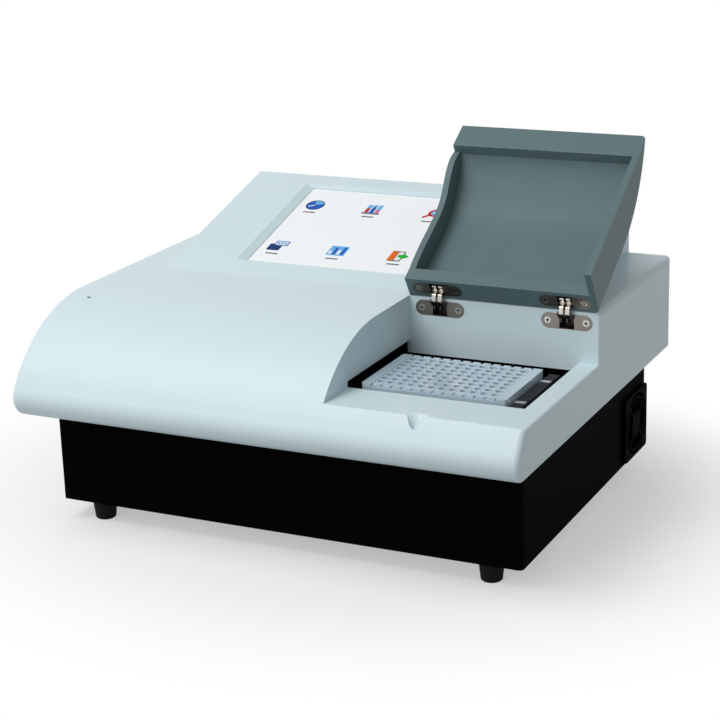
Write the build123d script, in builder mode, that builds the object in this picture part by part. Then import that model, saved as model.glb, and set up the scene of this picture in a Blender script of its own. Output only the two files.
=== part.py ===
from build123d import *
from math import asin, atan2, cos, degrees, hypot, pi, radians, sin, sqrt, tan
import os

os.makedirs("parts", exist_ok=True)

# A bench-top absorbance reader for 96-well microplates, in millimetres. X runs to the right, Y to the
# back, Z up. The origin is on the bench, under the middle of the casing.

# ---- driving dimensions -------------------------------------------------------------------------------
# the white upper casing
casing_width = 460.0
casing_depth = 382.0
casing_wall = 3.0
casing_bottom = 106.0
casing_top = 192.5
nose_radius = 16.5
nose_rise = 15.8
crown_run = 114.0
side_round = 5.0
edge_round = 2.0
lip_width = 27.0
# the display console on top of it
console_width = 380.0
console_top = 244.5
console_front = 2.0
console_round = 1.5
# the plate bay with its deck
bay_left = 59.5
deck_height = 148.0
hinge_wall = -7.0
opening_front = -131.0
opening_right = 212.0
slot_height = 5.0
skirt_drop = 7.0
notch_width = 19.0
notch_height = 12.0
notch_setback = 12.0
# the black base tray
tray_width = 431.0
tray_front = -147.0
tray_rear = 165.0
tray_wall = 2.0
tray_flange = 14.0
tray_round = 4.0
vent_length = 44.0
vent_width = 4.0
vent_pitch = 10.0
vent_count = 9
# feet
foot_height = 18.5
foot_top_radius = 11.0
foot_bottom_radius = 9.0
foot_x = 183.0
foot_front = -131.0
foot_rear = 139.0
# the lid and its two concealed hinges
open_angle = 149.0
lid_gap = 0.6
lid_rest_gap = 0.4
lid_skin = 2.5
lid_side = 5.5
lid_rear_bar = 12.5
lid_rear_height = 20.0
lid_front_bar = 26.5
lid_cut_front = 7.0
lid_bar_depth = 9.5
ceiling_run = 46.0
hinge_x = [87.5, 201.5]
leaf_length = 45.0
leaf_height = 13.5
leaf_drop = 9.75
leaf_plate = 2.0
leaf_depth = 11.0
leaf_wall = 1.2
pocket_width = 13.0
pocket_height = 12.3
link_pin_depth = 2.8
link_pin_drop = 5.5
link_pin_radius = 0.8
link_radius = 1.4
link_bow = 2.0
link_heel = 5.3
link_closed_drop = 14.3
screw_spacing = 33.5
hinge_screw_radius = 2.9
hinge_screw_core = 1.5
cross_length = 3.8
cross_width = 0.9
cross_depth = 1.2
# standard 96-well microplate
plate_length = 127.76
plate_width = 85.48
plate_height = 14.35
well_pitch = 9.0
well_radius = 3.2
well_depth = 10.7
strip_count = 12
wells_per_strip = 8
strip_width = 8.7
strip_tab = 6.4
rim_drop = 2.0
plate_top = 150.7
plate_centre_x = 131.0
plate_centre_y = -82.4
# carrier, rods and belt drive
carrier_travel = 165.0
carrier_base = 7.5
carrier_rim = 4.0
pocket_gap = 0.35
ledge = 5.0
rod_radius = 4.0
rod_offset = 46.0
bush_wall = 1.5
bush_length = 18.0
running_gap = 0.05
block_half = 8.0
bench_top = 116.5
bench_thickness = 3.0
pulley_radius = 8.0
pulley_width = 8.0
belt_thickness = 1.4
belt_width = 6.0
belt_axis_y = -11.5
motor_x = -150.0
idler_x = 196.0
motor_size = 42.3
motor_length = 38.0
# optics
optic_x = 20.0
arm_bottom = 154.5
arm_height = 10.0
beam_y = -110.0
filter_orbit = 18.0
wheel_radius = 25.0
wheel_x = -120.0
wheel_thickness = 5.0
filter_radius = 5.0
filter_count = 8
lamp_left = -200.0
lamp_right = -150.0
guide_radius = 3.0
# display
screen_width = 214.0
screen_height = 145.2
screen_x = -15.1
screen_centre = 102.0
recess_depth = 3.5
recess_side = 7.0
recess_end = 2.5
window_lip = 1.0
touch_margin = 2.5
lcd_margin = 1.0
glass_thickness = 1.8
lcd_thickness = 6.0
bracket_thickness = 1.5
led_x = -205.0
led_y = -100.4
# side fan
fan_size = 60.0
fan_depth = 25.0
fan_bore = 28.5
fan_y = 130.0
fan_z = 51.0
hub_radius = 11.5
blade_count = 7
guard_thickness = 3.3
guard_rings = 3
# rear panel
panel_left = -186.0
panel_right = 60.0
panel_bottom = 27.5
panel_height = 62.0
panel_thickness = 1.5
inlet_x = -152.0
switch_x = -106.0
usb_x = -44.0
serial_x = 16.0
socket_z = 59.5
# electronics
board_thickness = 1.6
board_standoff = 8.0

# ---- derived ------------------------------------------------------------------------------------------
half_width = casing_width / 2
rear = casing_depth / 2
front = -casing_depth / 2
nose_y = front + nose_radius
nose_z = casing_bottom + nose_rise
crown_y = front + crown_run
crown_span = crown_y - nose_y
crown_high = casing_top - nose_z
crown_radius = (crown_span**2 + crown_high**2 - nose_radius**2) / (2 * (crown_high - nose_radius))
deck_front = crown_y - sqrt(crown_radius**2 - (deck_height - casing_top + crown_radius) ** 2)
slope = degrees(atan2(console_top - casing_top, rear - console_front))
console_face = Plane(
    origin=(0, console_front, casing_top),
    x_dir=(1, 0, 0),
    z_dir=(0, -sin(radians(slope)), cos(radians(slope))),
)
hinge_y = hinge_wall - lid_gap / 2
lid_axis = Axis((0, hinge_y, casing_top), (1, 0, 0))
rod_z = bench_top + 6.5
carrier_bottom = plate_top - plate_height - carrier_base
beam_z = arm_bottom + arm_height / 2
leaf_z = casing_top - leaf_drop
screw_xs = [x + side * screw_spacing / 2 for x in hinge_x for side in (-1, 1)]
foot_spots = [(x, y) for x in (-foot_x, foot_x) for y in (foot_front, foot_rear)]
plate_seat = plate_top - plate_height
standing = (Align.CENTER, Align.CENTER, Align.MIN)
top_aligned = (Align.CENTER, Align.CENTER, Align.MAX)


def block(low, high, mode=Mode.ADD):
    """A square-edged block between two corners, in the part being built."""
    with Locations(tuple((a + b) / 2 for a, b in zip(low, high))):
        Box(*(b - a for a, b in zip(low, high)), mode=mode)


def crown_height(y, depth):
    """Height of the crown at a place along Y, or of a surface at a depth under it."""
    return casing_top - crown_radius + sqrt((crown_radius - depth) ** 2 - (y - crown_y) ** 2)


def finish(part, name):
    """Name one finished piece and write it."""
    part.label = name
    export_step(part, f"parts/{name}.step")


# ---- casing -------------------------------------------------------------------------------------------
def casing_outline(inset):
    """Side view of the casing in Y and Z: flat floor and top, upright back, and a crown that runs
    into the tighter round of the nose."""
    nose = nose_radius - inset
    crown = crown_radius - inset
    floor = casing_bottom + inset
    turn = degrees(atan2(nose_z - (casing_top - crown_radius), nose_y - crown_y))
    heel = degrees(asin((nose_z - floor) / nose))
    with BuildLine() as outline:
        top = CenterArc((crown_y, casing_top - crown_radius), crown, 90, turn - 90)
        bottom = CenterArc((nose_y, nose_z), nose, turn, 180 + heel - turn)
        Polyline(bottom @ 1, (rear - inset, floor), (rear - inset, casing_top - inset), top @ 0)
    return outline.line


def casing_body(inset):
    """The casing's whole form, or its inside for an inset, before the console and the bay."""
    with BuildPart() as body:
        with BuildSketch(Plane.YZ.offset(-half_width + inset)):
            with BuildLine():
                add(casing_outline(inset))
            make_face()
        extrude(amount=casing_width - 2 * inset)
        if inset == 0:
            fillet(body.edges().filter_by(lambda e: abs(e.center().X) > half_width - 0.01), side_round)
    return body.part


def console_body(inset):
    """The wedge that carries the display, or its inside for an inset."""
    low = casing_top - casing_wall - 6
    rise = tan(radians(slope))
    drop = inset / cos(radians(slope))
    foot = console_front + (drop - inset) / rise
    with BuildPart() as wedge:
        with BuildSketch(Plane.YZ.offset(-console_width / 2 + inset)):
            with BuildLine():
                Polyline(
                    (foot, low),
                    (foot, casing_top - inset),
                    (rear - inset, casing_top + (rear - inset - console_front) * rise - drop),
                    (rear - inset, low),
                    close=True,
                )
            make_face()
        extrude(amount=console_width - 2 * inset)
        if inset == 0:
            crest = wedge.edges().filter_by(
                lambda e: e.center().Z > casing_top + 1 and e.center().Y < rear - 0.01
            )
            ridge = wedge.edges().filter_by(Axis.X).sort_by(Axis.Z)[-1:]
            fillet(crest + ridge, console_round)
    return wedge.part


notch_spot = ((bay_left + half_width) / 2 - 4, front + notch_setback, deck_height)
bay_low = (bay_left, front - 20, deck_height)
bay_high = (half_width + 20, hinge_wall, casing_top + 20)

with BuildPart() as casing_inside:
    add(casing_body(casing_wall))
    block(
        (bay_low[0] - casing_wall, bay_low[1], bay_low[2] - casing_wall),
        (bay_high[0], bay_high[1] + casing_wall, bay_high[2]),
        Mode.SUBTRACT,
    )
    add(console_body(casing_wall))
    with Locations(notch_spot):
        Cone(
            casing_wall,
            notch_width / 2 + casing_wall,
            notch_height + casing_wall,
            align=top_aligned,
            mode=Mode.SUBTRACT,
        )

boss_x = half_width - 21
boss_spots = [(x, y) for x in (-boss_x, boss_x) for y in (tray_front + 8, 10, tray_rear - 8)]

with BuildPart() as upper_casing:
    add(casing_body(0))
    block(bay_low, bay_high, Mode.SUBTRACT)
    deck_edges = upper_casing.edges().filter_by(
        lambda e: abs(e.center().Z - deck_height) < 0.01
        and (e.center().X > half_width - 0.01 or e.center().Y < opening_front)
        and e.center().X > bay_left + 1
    )
    fillet(deck_edges, edge_round)
    rim_edges = upper_casing.edges().filter_by(
        lambda e: abs(e.center().Y - hinge_wall) < 0.01 and abs(e.center().Z - casing_top) < 0.01
    )
    chamfer(rim_edges, edge_round / 2)
    add(console_body(0))
    add(casing_inside.part, mode=Mode.SUBTRACT)
    # floor opening over the tray
    with BuildSketch(Plane.XY.offset(casing_bottom)):
        with Locations((0, (tray_front + tray_rear) / 2)):
            Rectangle(casing_width - 2 * lip_width, tray_rear - tray_front - 2 * tray_flange + 2)
    extrude(amount=casing_wall, mode=Mode.SUBTRACT)
    # deck opening, the slot that lets the plate pass under the bay wall, and the skirt of the hinge wall
    block(
        (bay_left - casing_wall, opening_front, deck_height - casing_wall),
        (opening_right, hinge_wall, deck_height),
        Mode.SUBTRACT,
    )
    block(
        (bay_left - casing_wall, opening_front, deck_height),
        (bay_left, hinge_wall, deck_height + slot_height),
        Mode.SUBTRACT,
    )
    block(
        (bay_left - casing_wall, hinge_wall, deck_height - skirt_drop),
        (opening_right, hinge_wall + casing_wall, deck_height),
    )
    # finger notch under the lid's front edge: a dent with a round bottom and a flared rim
    with BuildSketch(Plane(notch_spot, x_dir=(1, 0, 0), z_dir=(0, -1, 0))):
        with BuildLine():
            dent = Spline(
                (0, -notch_height),
                (notch_width * 0.2, -notch_height * 0.72),
                (notch_width * 0.36, -notch_height * 0.25),
                (notch_width / 2 + 1, 0),
                tangents=((1, 0), (1, 0.4)),
            )
            Polyline(dent @ 1, (notch_width / 2 + 1, 2), (0, 2), dent @ 0)
        make_face()
    revolve(axis=Axis(notch_spot, (0, 0, 1)), mode=Mode.SUBTRACT)
    # mortises for the hinge leaves
    with BuildSketch(Plane.XZ.offset(-hinge_wall)):
        for x in hinge_x:
            with Locations((x, leaf_z)):
                SlotOverall(leaf_length, leaf_height)
    extrude(amount=-leaf_plate, mode=Mode.SUBTRACT)
    for x in hinge_x:
        block(
            (x - pocket_width / 2 - leaf_wall, hinge_wall, leaf_z - leaf_height / 2),
            (x + pocket_width / 2 + leaf_wall, hinge_wall + casing_wall, leaf_z + leaf_height / 2),
            Mode.SUBTRACT,
        )
    with Locations((led_x, led_y, casing_top)):
        Cylinder(1.6, 12, mode=Mode.SUBTRACT)
    with Locations(*[(x, hinge_wall, leaf_z) for x in screw_xs]):
        Cylinder(hinge_screw_core + 0.1, 2 * casing_wall + 1, rotation=(90, 0, 0), mode=Mode.SUBTRACT)
    # display frame, its bevelled recess and the window
    frame_width = screen_width + 2 * (recess_side + casing_wall)
    frame_height = screen_height + 2 * (recess_end + casing_wall)
    with BuildSketch(console_face.offset(-recess_depth - window_lip)):
        with Locations((screen_x, screen_centre)):
            Rectangle(frame_width, frame_height)
    extrude(amount=recess_depth + window_lip - casing_wall + 0.5)
    with BuildSketch(console_face):
        with Locations((screen_x, screen_centre)):
            RectangleRounded(screen_width + 2 * recess_side, screen_height + 2 * recess_end, edge_round)
    with BuildSketch(console_face.offset(-recess_depth)):
        with Locations((screen_x, screen_centre)):
            RectangleRounded(screen_width, screen_height, edge_round / 2)
    loft(mode=Mode.SUBTRACT)
    with BuildSketch(console_face.offset(-recess_depth)):
        with Locations((screen_x, screen_centre)):
            Rectangle(screen_width, screen_height)
    extrude(amount=-window_lip - 0.1, mode=Mode.SUBTRACT)
    # screw bosses over the tray flange
    with Locations(*[(x, y, casing_bottom + casing_wall) for x, y in boss_spots]):
        Cylinder(4, 9, align=standing)
    with Locations(*[(x, y, casing_bottom) for x, y in boss_spots]):
        Cylinder(1.7, casing_wall + 7, align=standing, mode=Mode.SUBTRACT)
finish(upper_casing.part, "upper_casing")


# ---- base tray, feet and rear panel -------------------------------------------------------------------
tray_middle = (tray_front + tray_rear) / 2
tray_depth = tray_rear - tray_front
panel_width = panel_right - panel_left
panel_x = (panel_left + panel_right) / 2

with BuildPart() as base_tray:
    with BuildSketch(Plane.XY.offset(foot_height)):
        with Locations((0, tray_middle)):
            RectangleRounded(tray_width, tray_depth, tray_round)
    extrude(amount=casing_bottom - foot_height)
    with BuildSketch(Plane.XY.offset(foot_height + tray_wall)):
        with Locations((0, tray_middle)):
            RectangleRounded(tray_width - 2 * tray_wall, tray_depth - 2 * tray_wall, tray_round - tray_wall)
    extrude(amount=casing_bottom - foot_height - 2 * tray_wall, mode=Mode.SUBTRACT)
    with BuildSketch(Plane.XY.offset(casing_bottom - tray_wall)):
        with Locations((0, tray_middle)):
            Rectangle(tray_width - 2 * tray_flange, tray_depth - 2 * tray_flange)
    extrude(amount=tray_wall, mode=Mode.SUBTRACT)
    with Locations(*[(x, y, casing_bottom - tray_wall) for x, y in boss_spots]):
        Cylinder(2.2, tray_wall, align=standing, mode=Mode.SUBTRACT)
    with Locations(*[(x, y, foot_height) for x, y in foot_spots]):
        Cylinder(2.0, tray_wall, align=standing, mode=Mode.SUBTRACT)
    # fan opening on the right, air slots on the left, and the cut-out behind the rear panel
    with BuildSketch(Plane.YZ.offset(tray_width / 2)):
        with Locations((fan_y, fan_z)):
            Circle(fan_bore)
            with GridLocations(50, 50, 2, 2):
                Circle(2.1)
    extrude(amount=-tray_wall, mode=Mode.SUBTRACT)
    with BuildSketch(Plane.YZ.offset(-tray_width / 2)):
        with Locations((fan_y - 60, fan_z)):
            with GridLocations(vent_pitch, 0, vent_count, 1):
                SlotOverall(vent_length, vent_width, rotation=90)
    extrude(amount=tray_wall, mode=Mode.SUBTRACT)
    block(
        (panel_left + 8, tray_rear - tray_wall, panel_bottom + 8),
        (panel_right - 8, tray_rear, panel_bottom + panel_height - 8),
        Mode.SUBTRACT,
    )
finish(base_tray.part, "base_tray")

with BuildPart() as foot:
    with BuildSketch(Plane.XZ):
        with BuildLine():
            Polyline(
                (0, 3),
                (5, 3),
                (5, 0),
                (foot_bottom_radius - 1, 0),
                (foot_bottom_radius, 1),
                (foot_top_radius, foot_height),
                (0, foot_height),
                close=True,
            )
        make_face()
    revolve(axis=Axis.Z)
    with Locations((0, 0, 3)):
        Cylinder(2.0, foot_height, align=standing, mode=Mode.SUBTRACT)

with BuildPart() as feet:
    with Locations(*[(x, y, 0) for x, y in foot_spots]):
        add(foot.part)
finish(feet.part, "feet")

with BuildPart() as foot_screws:
    with Locations(*[(x, y, 3) for x, y in foot_spots]):
        Cylinder(1.9, foot_height, align=standing)
    with Locations(*[(x, y, 3) for x, y in foot_spots]):
        Cylinder(4.0, 2.2, align=top_aligned)
finish(foot_screws.part, "foot_screws")

with BuildPart() as casing_screws:
    with Locations(*[(x, y, casing_bottom - tray_wall) for x, y in boss_spots]):
        Cylinder(1.6, tray_wall + casing_wall + 5, align=standing)
    with Locations(*[(x, y, casing_bottom - tray_wall) for x, y in boss_spots]):
        Cylinder(3.4, 2.2, align=top_aligned)
finish(casing_screws.part, "casing_screws")

inlet_size = (27.4, 20.0)
switch_size = (12.6, 19.2)
usb_size = (13.4, 15.6)
serial_size = (19.0, 10.6)
sockets = [(inlet_x, inlet_size), (switch_x, switch_size), (usb_x, usb_size), (serial_x, serial_size)]
with BuildPart() as rear_panel:
    with BuildSketch(Plane.XZ.offset(-tray_rear)):
        with Locations((panel_x, panel_bottom + panel_height / 2)):
            RectangleRounded(panel_width, panel_height, tray_round)
        for x, size in sockets:
            with Locations((x, socket_z)):
                Rectangle(size[0] + 0.4, size[1] + 0.4, mode=Mode.SUBTRACT)
    extrude(amount=-panel_thickness)
finish(rear_panel.part, "rear_panel")

panel_face = tray_rear + panel_thickness
with BuildPart() as power_inlet:
    block(
        (inlet_x - inlet_size[0] / 2, tray_rear - 20, socket_z - inlet_size[1] / 2),
        (inlet_x + inlet_size[0] / 2, panel_face, socket_z + inlet_size[1] / 2),
    )
    with BuildSketch(Plane.XZ.offset(-panel_face)):
        with Locations((inlet_x, socket_z)):
            RectangleRounded(inlet_size[0] + 4, inlet_size[1] + 4, 2)
    extrude(amount=-2)
    with BuildSketch(Plane((inlet_x, panel_face + 2, socket_z), x_dir=(1, 0, 0), z_dir=(0, -1, 0))):
        with BuildLine():
            Polyline((-11, -7.5), (11, -7.5), (11, 3.5), (7.5, 7.5), (-7.5, 7.5), (-11, 3.5), close=True)
        make_face()
    extrude(amount=18, mode=Mode.SUBTRACT)
    contacts = [(-7, -1.5), (0, 2), (7, -1.5)]
    with Locations(*[(inlet_x + dx, panel_face - 10, socket_z + dz) for dx, dz in contacts]):
        Box(2, 14, 4)
finish(power_inlet.part, "power_inlet")

with BuildPart() as switch_body:
    block(
        (switch_x - switch_size[0] / 2, tray_rear - 14, socket_z - switch_size[1] / 2),
        (switch_x + switch_size[0] / 2, panel_face, socket_z + switch_size[1] / 2),
    )
    with BuildSketch(Plane.XZ.offset(-panel_face)):
        with Locations((switch_x, socket_z)):
            RectangleRounded(switch_size[0] + 2.4, switch_size[1] + 2.4, 1)
    extrude(amount=-1.2)
    block(
        (switch_x - 4.8, tray_rear - 8, socket_z - 8.2),
        (switch_x + 4.8, panel_face + 1.2, socket_z + 8.2),
        Mode.SUBTRACT,
    )
finish(switch_body.part, "power_switch_body")

rocker_pivot = panel_face - 2.5
with BuildPart() as rocker:
    with BuildSketch(Plane.YZ.offset(switch_x - 4.4)):
        with BuildLine():
            Polyline(
                (rocker_pivot - 2.0, socket_z - 3),
                (rocker_pivot + 2.2, socket_z - 7.4),
                (rocker_pivot + 3.2, socket_z),
                (rocker_pivot + 5.2, socket_z + 6.6),
                (rocker_pivot + 0.6, socket_z + 7.4),
                (rocker_pivot - 2.0, socket_z + 3),
                close=True,
            )
        make_face()
        with Locations((rocker_pivot, socket_z)):
            Circle(2.6)
    extrude(amount=8.8)
finish(rocker.part, "power_switch_rocker")

with BuildPart() as usb_ports:
    block(
        (usb_x - usb_size[0] / 2, tray_rear - 14, socket_z - usb_size[1] / 2),
        (usb_x + usb_size[0] / 2, panel_face + 0.6, socket_z + usb_size[1] / 2),
    )
    with Locations(*[(usb_x, panel_face - 5.4, socket_z + dz) for dz in (-3.7, 3.7)]):
        Box(12.0, 12.0, 4.6, mode=Mode.SUBTRACT)
    with Locations(*[(usb_x, panel_face - 7.4, socket_z + dz) for dz in (-3.7, 3.7)]):
        Box(10.6, 9.0, 1.6)
finish(usb_ports.part, "usb_ports")

with BuildPart() as serial_port:
    with BuildSketch(Plane.XZ.offset(-tray_rear + 8)):
        with Locations((serial_x, socket_z)):
            RectangleRounded(serial_size[0], serial_size[1], 3)
    extrude(amount=-8 - panel_thickness - 5)
    with BuildSketch(Plane.XZ.offset(-panel_face)):
        with Locations((serial_x, socket_z)):
            RectangleRounded(31, 12.6, 1.5)
    extrude(amount=-0.8)
    with BuildSketch(Plane.XZ.offset(-panel_face - 5)):
        with Locations((serial_x, socket_z)):
            RectangleRounded(serial_size[0] - 1.4, serial_size[1] - 1.4, 2.4)
    extrude(amount=5.5, mode=Mode.SUBTRACT)
    with Locations(*[(serial_x, panel_face + 1.5, socket_z + dz) for dz in (-1.4, 1.4)]):
        with GridLocations(2.76, 0, 5, 1):
            Box(0.9, 5.0, 0.9)
finish(serial_port.part, "serial_port")

# ---- side fan -----------------------------------------------------------------------------------------
fan_face = tray_width / 2
fan_outer = fan_face - tray_wall
fan_axle = 2.0
with BuildPart() as fan_frame:
    with BuildSketch(Plane.YZ.offset(fan_outer)):
        with Locations((fan_y, fan_z)):
            RectangleRounded(fan_size, fan_size, 4)
            Circle(fan_bore, mode=Mode.SUBTRACT)
            with GridLocations(50, 50, 2, 2):
                Circle(2.1, mode=Mode.SUBTRACT)
    extrude(amount=-fan_depth)
    # motor hub on three struts at the inner end
    with BuildSketch(Plane.YZ.offset(fan_outer - fan_depth)):
        with Locations((fan_y, fan_z)):
            Circle(hub_radius)
            with PolarLocations(fan_bore / 2 + 3, 3, start_angle=30):
                Rectangle(fan_bore - 3, 3)
    extrude(amount=2.5)
    with BuildSketch(Plane.YZ.offset(fan_outer - fan_depth + 2.5)):
        with Locations((fan_y, fan_z)):
            Circle(fan_axle)
    extrude(amount=12)
finish(fan_frame.part, "fan_frame")

rotor_low = fan_outer - fan_depth + 3.5
with BuildPart() as fan_rotor:
    with BuildSketch(Plane.YZ.offset(rotor_low)):
        with Locations((fan_y, fan_z)):
            Circle(hub_radius)
            Circle(fan_axle + running_gap, mode=Mode.SUBTRACT)
    extrude(amount=18)
    blade_pitch = 35
    for k in range(blade_count):
        spoke = Rotation(360 * k / blade_count, 0, 0)
        plate = Box(17, 1.4, fan_bore - hub_radius, mode=Mode.PRIVATE)
        blade = spoke * Pos(0, 0, (hub_radius + fan_bore - 1) / 2) * Rotation(0, 0, blade_pitch) * plate
        add(Pos(rotor_low + 9, fan_y, fan_z) * blade)
finish(fan_rotor.part, "fan_rotor")

with BuildPart() as fan_guard:
    with BuildSketch(Plane.YZ.offset(fan_face)):
        with Locations((fan_y, fan_z)):
            RectangleRounded(fan_size, fan_size, 4)
            Circle(fan_bore, mode=Mode.SUBTRACT)
            Circle(hub_radius)
            for k in range(guard_rings):
                ring = hub_radius + (fan_bore - hub_radius) * (k + 1) / (guard_rings + 1)
                Circle(ring + 0.9)
                Circle(ring - 0.9, mode=Mode.SUBTRACT)
                Circle(hub_radius)
            with PolarLocations((hub_radius + fan_bore) / 2, 4, start_angle=45):
                Rectangle(fan_bore - hub_radius + 1, 2.4)
            with GridLocations(50, 50, 2, 2):
                Circle(2.1, mode=Mode.SUBTRACT)
    extrude(amount=guard_thickness)
finish(fan_guard.part, "fan_guard")

fan_screw_length = guard_thickness + tray_wall + 8
with BuildPart() as fan_screws:
    with BuildSketch(Plane.YZ.offset(fan_face + guard_thickness)):
        with Locations((fan_y, fan_z)):
            with GridLocations(50, 50, 2, 2):
                Circle(1.9)
    extrude(amount=-fan_screw_length)
finish(fan_screws.part, "fan_screws")


# ---- lid, made closed and then swung open about the hinge line ----------------------------------------
lid_left = bay_left + lid_rest_gap
lid_back = hinge_wall - lid_gap
lid_low = deck_height + lid_rest_gap
bar_low = casing_top - lid_rear_height


def swing(part):
    """A piece of the lid, carried from its closed place to the open rest pose."""
    return part.rotate(lid_axis, -open_angle)


bar_back = deck_front + lid_front_bar


with BuildPart() as lid_hollow:
    # under the skin, between the hinge bar and the front bar
    with BuildSketch(Plane.YZ.offset(lid_left + lid_side)):
        with BuildLine():
            add(casing_outline(lid_skin))
        make_face()
    extrude(amount=half_width - lid_left - 2 * lid_side)
    block((0, lid_back - lid_rear_bar, 0), (half_width + 20, rear + 20, casing_top), Mode.SUBTRACT)
    # the front bar, and the skin that thickens towards it
    with BuildSketch(Plane.YZ.offset(lid_left)):
        with BuildLine():
            fall = Spline(
                (bar_back, lid_low + lid_bar_depth),
                (bar_back + ceiling_run * 0.45, crown_height(bar_back + ceiling_run * 0.45, lid_skin + 3)),
                (bar_back + ceiling_run, crown_height(bar_back + ceiling_run, lid_skin)),
                tangents=((1, 1.6), (1, 0.28)),
            )
            Polyline(
                fall @ 1,
                (bar_back + ceiling_run, casing_top),
                (front, casing_top),
                (front, 0),
                (bar_back, 0),
                fall @ 0,
            )
        make_face()
    extrude(amount=half_width - lid_left, mode=Mode.SUBTRACT)

with BuildPart() as lid_shell:
    add(casing_body(0))
    block((lid_left, front - 20, lid_low), (half_width + 20, lid_back, casing_top + 20), Mode.INTERSECT)
    # below the hinge bar only the right wall goes down to the deck
    block(
        (lid_left, lid_back - lid_rear_bar, 0),
        (half_width - lid_side, lid_back + 1, bar_low),
        Mode.SUBTRACT,
    )
    add(lid_hollow.part, mode=Mode.SUBTRACT)
    # the left wall is cut back in a curve, to let the plate pass under it
    with BuildSketch(Plane.YZ.offset(lid_left)):
        with BuildLine():
            sweep = Spline(
                (bar_back, lid_low + lid_cut_front),
                (bar_back + 25, lid_low + lid_cut_front + 1.6),
                (bar_back + 45, lid_low + lid_cut_front + 12.1),
                (bar_back + 79, bar_low - 1),
                (lid_back - lid_rear_bar, bar_low),
            )
            Polyline(
                sweep @ 1,
                (lid_back + 1, bar_low),
                (lid_back + 1, lid_low - 1),
                (bar_back, lid_low - 1),
                sweep @ 0,
            )
        make_face()
    extrude(amount=lid_side, mode=Mode.SUBTRACT)
    # mortises for the lid leaves
    with BuildSketch(Plane.XZ.offset(-lid_back)):
        for x in hinge_x:
            with Locations((x, leaf_z)):
                SlotOverall(leaf_length, leaf_height)
    extrude(amount=leaf_plate, mode=Mode.SUBTRACT)
    for x in hinge_x:
        block(
            (x - pocket_width / 2 - leaf_wall, lid_back - leaf_depth, leaf_z - leaf_height / 2),
            (x + pocket_width / 2 + leaf_wall, lid_back, leaf_z + leaf_height / 2),
            Mode.SUBTRACT,
        )
    with Locations(*[(x, lid_back, leaf_z) for x in screw_xs]):
        Cylinder(hinge_screw_core + 0.1, 2 * leaf_depth - 3, rotation=(90, 0, 0), mode=Mode.SUBTRACT)
finish(swing(lid_shell.part), "lid_shell")


def hinge_leaf(x):
    """One leaf of a concealed hinge in the wall: a slotted face plate with a box behind the slot."""
    with BuildPart() as leaf:
        with BuildSketch(Plane.XZ.offset(-hinge_wall)):
            with Locations((x, leaf_z)):
                SlotOverall(leaf_length - 0.1, leaf_height - 0.1)
        extrude(amount=-leaf_plate + 0.05)
        block(
            (x - pocket_width / 2 - leaf_wall, hinge_wall, leaf_z - leaf_height / 2 + 0.05),
            (x + pocket_width / 2 + leaf_wall, hinge_wall + leaf_depth, leaf_z + leaf_height / 2 - 0.05),
        )
        block(
            (x - pocket_width / 2, hinge_wall - 1, leaf_z - pocket_height / 2),
            (x + pocket_width / 2, hinge_wall + leaf_depth - leaf_wall, leaf_z + pocket_height / 2),
            Mode.SUBTRACT,
        )
        with Locations(*[(x + side * screw_spacing / 2, hinge_wall, leaf_z) for side in (-1, 1)]):
            Cone(
                hinge_screw_core + 0.1,
                hinge_screw_radius,
                leaf_plate,
                rotation=(90, 0, 0),
                align=top_aligned,
                mode=Mode.SUBTRACT,
            )
    return leaf.part


def hinge_pin(x):
    """The cross pin that carries the links inside a leaf."""
    with BuildPart() as pin:
        with BuildSketch(Plane.YZ.offset(x - pocket_width / 2)):
            with Locations((hinge_wall + link_pin_depth, casing_top - link_pin_drop)):
                Circle(link_pin_radius)
        extrude(amount=pocket_width)
    return pin.part


def hinge_links(bars, bar_width):
    """Links on the cross pins of both wall leaves, in their closed place. Each is a cranked lever: a
    heel that lies deep in the leaf, and an arm bowed to clear the lip of the slot as it swings out."""
    pin = Vector(hinge_wall + link_pin_depth, casing_top - link_pin_drop)
    tip = Vector(hinge_y, casing_top - link_closed_drop)
    along = (tip - pin).normalized()
    bow = (pin + tip) / 2 + Vector(-along.Y, along.X) * link_bow
    heel = pin + Vector(link_heel, 0)
    spots = [(spot.X, spot.Y) for spot in (heel, pin, bow, tip)]
    with BuildPart() as links:
        for left in [x + bar - bar_width / 2 for x in hinge_x for bar in bars]:
            with BuildSketch(Plane.YZ.offset(left)):
                for first, second in zip(spots, spots[1:]):
                    with BuildLine():
                        run = Line(first, second)
                    trace(run, line_width=2 * link_radius)
                with Locations(*spots):
                    Circle(link_radius)
                with Locations((pin.X, pin.Y)):
                    Circle(link_pin_radius + running_gap, mode=Mode.SUBTRACT)
            extrude(amount=bar_width)
    return links.part


# open and closed directions of a wall link, from its pin: they give its swing for the lid's full angle
half_angle = radians(open_angle / 2)
pin_y = hinge_wall + link_pin_depth - hinge_y
link_length = hypot(pin_y, link_closed_drop - link_pin_drop)
reach = pin_y * sin(half_angle) - link_pin_drop * cos(half_angle)
bisector_reach = -reach + sqrt(reach**2 + link_length**2 - pin_y**2 - link_pin_drop**2)
open_direction = atan2(
    bisector_reach * cos(half_angle) - link_pin_drop, -bisector_reach * sin(half_angle) - pin_y
)
closed_direction = atan2(link_closed_drop - link_pin_drop, -pin_y)
link_swing = degrees((open_direction - closed_direction) % (2 * pi))
wall_pin_axis = Axis((0, hinge_wall + link_pin_depth, casing_top - link_pin_drop), (1, 0, 0))
lid_mirror = Plane((0, hinge_y, 0), x_dir=(1, 0, 0), z_dir=(0, 1, 0))

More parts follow.
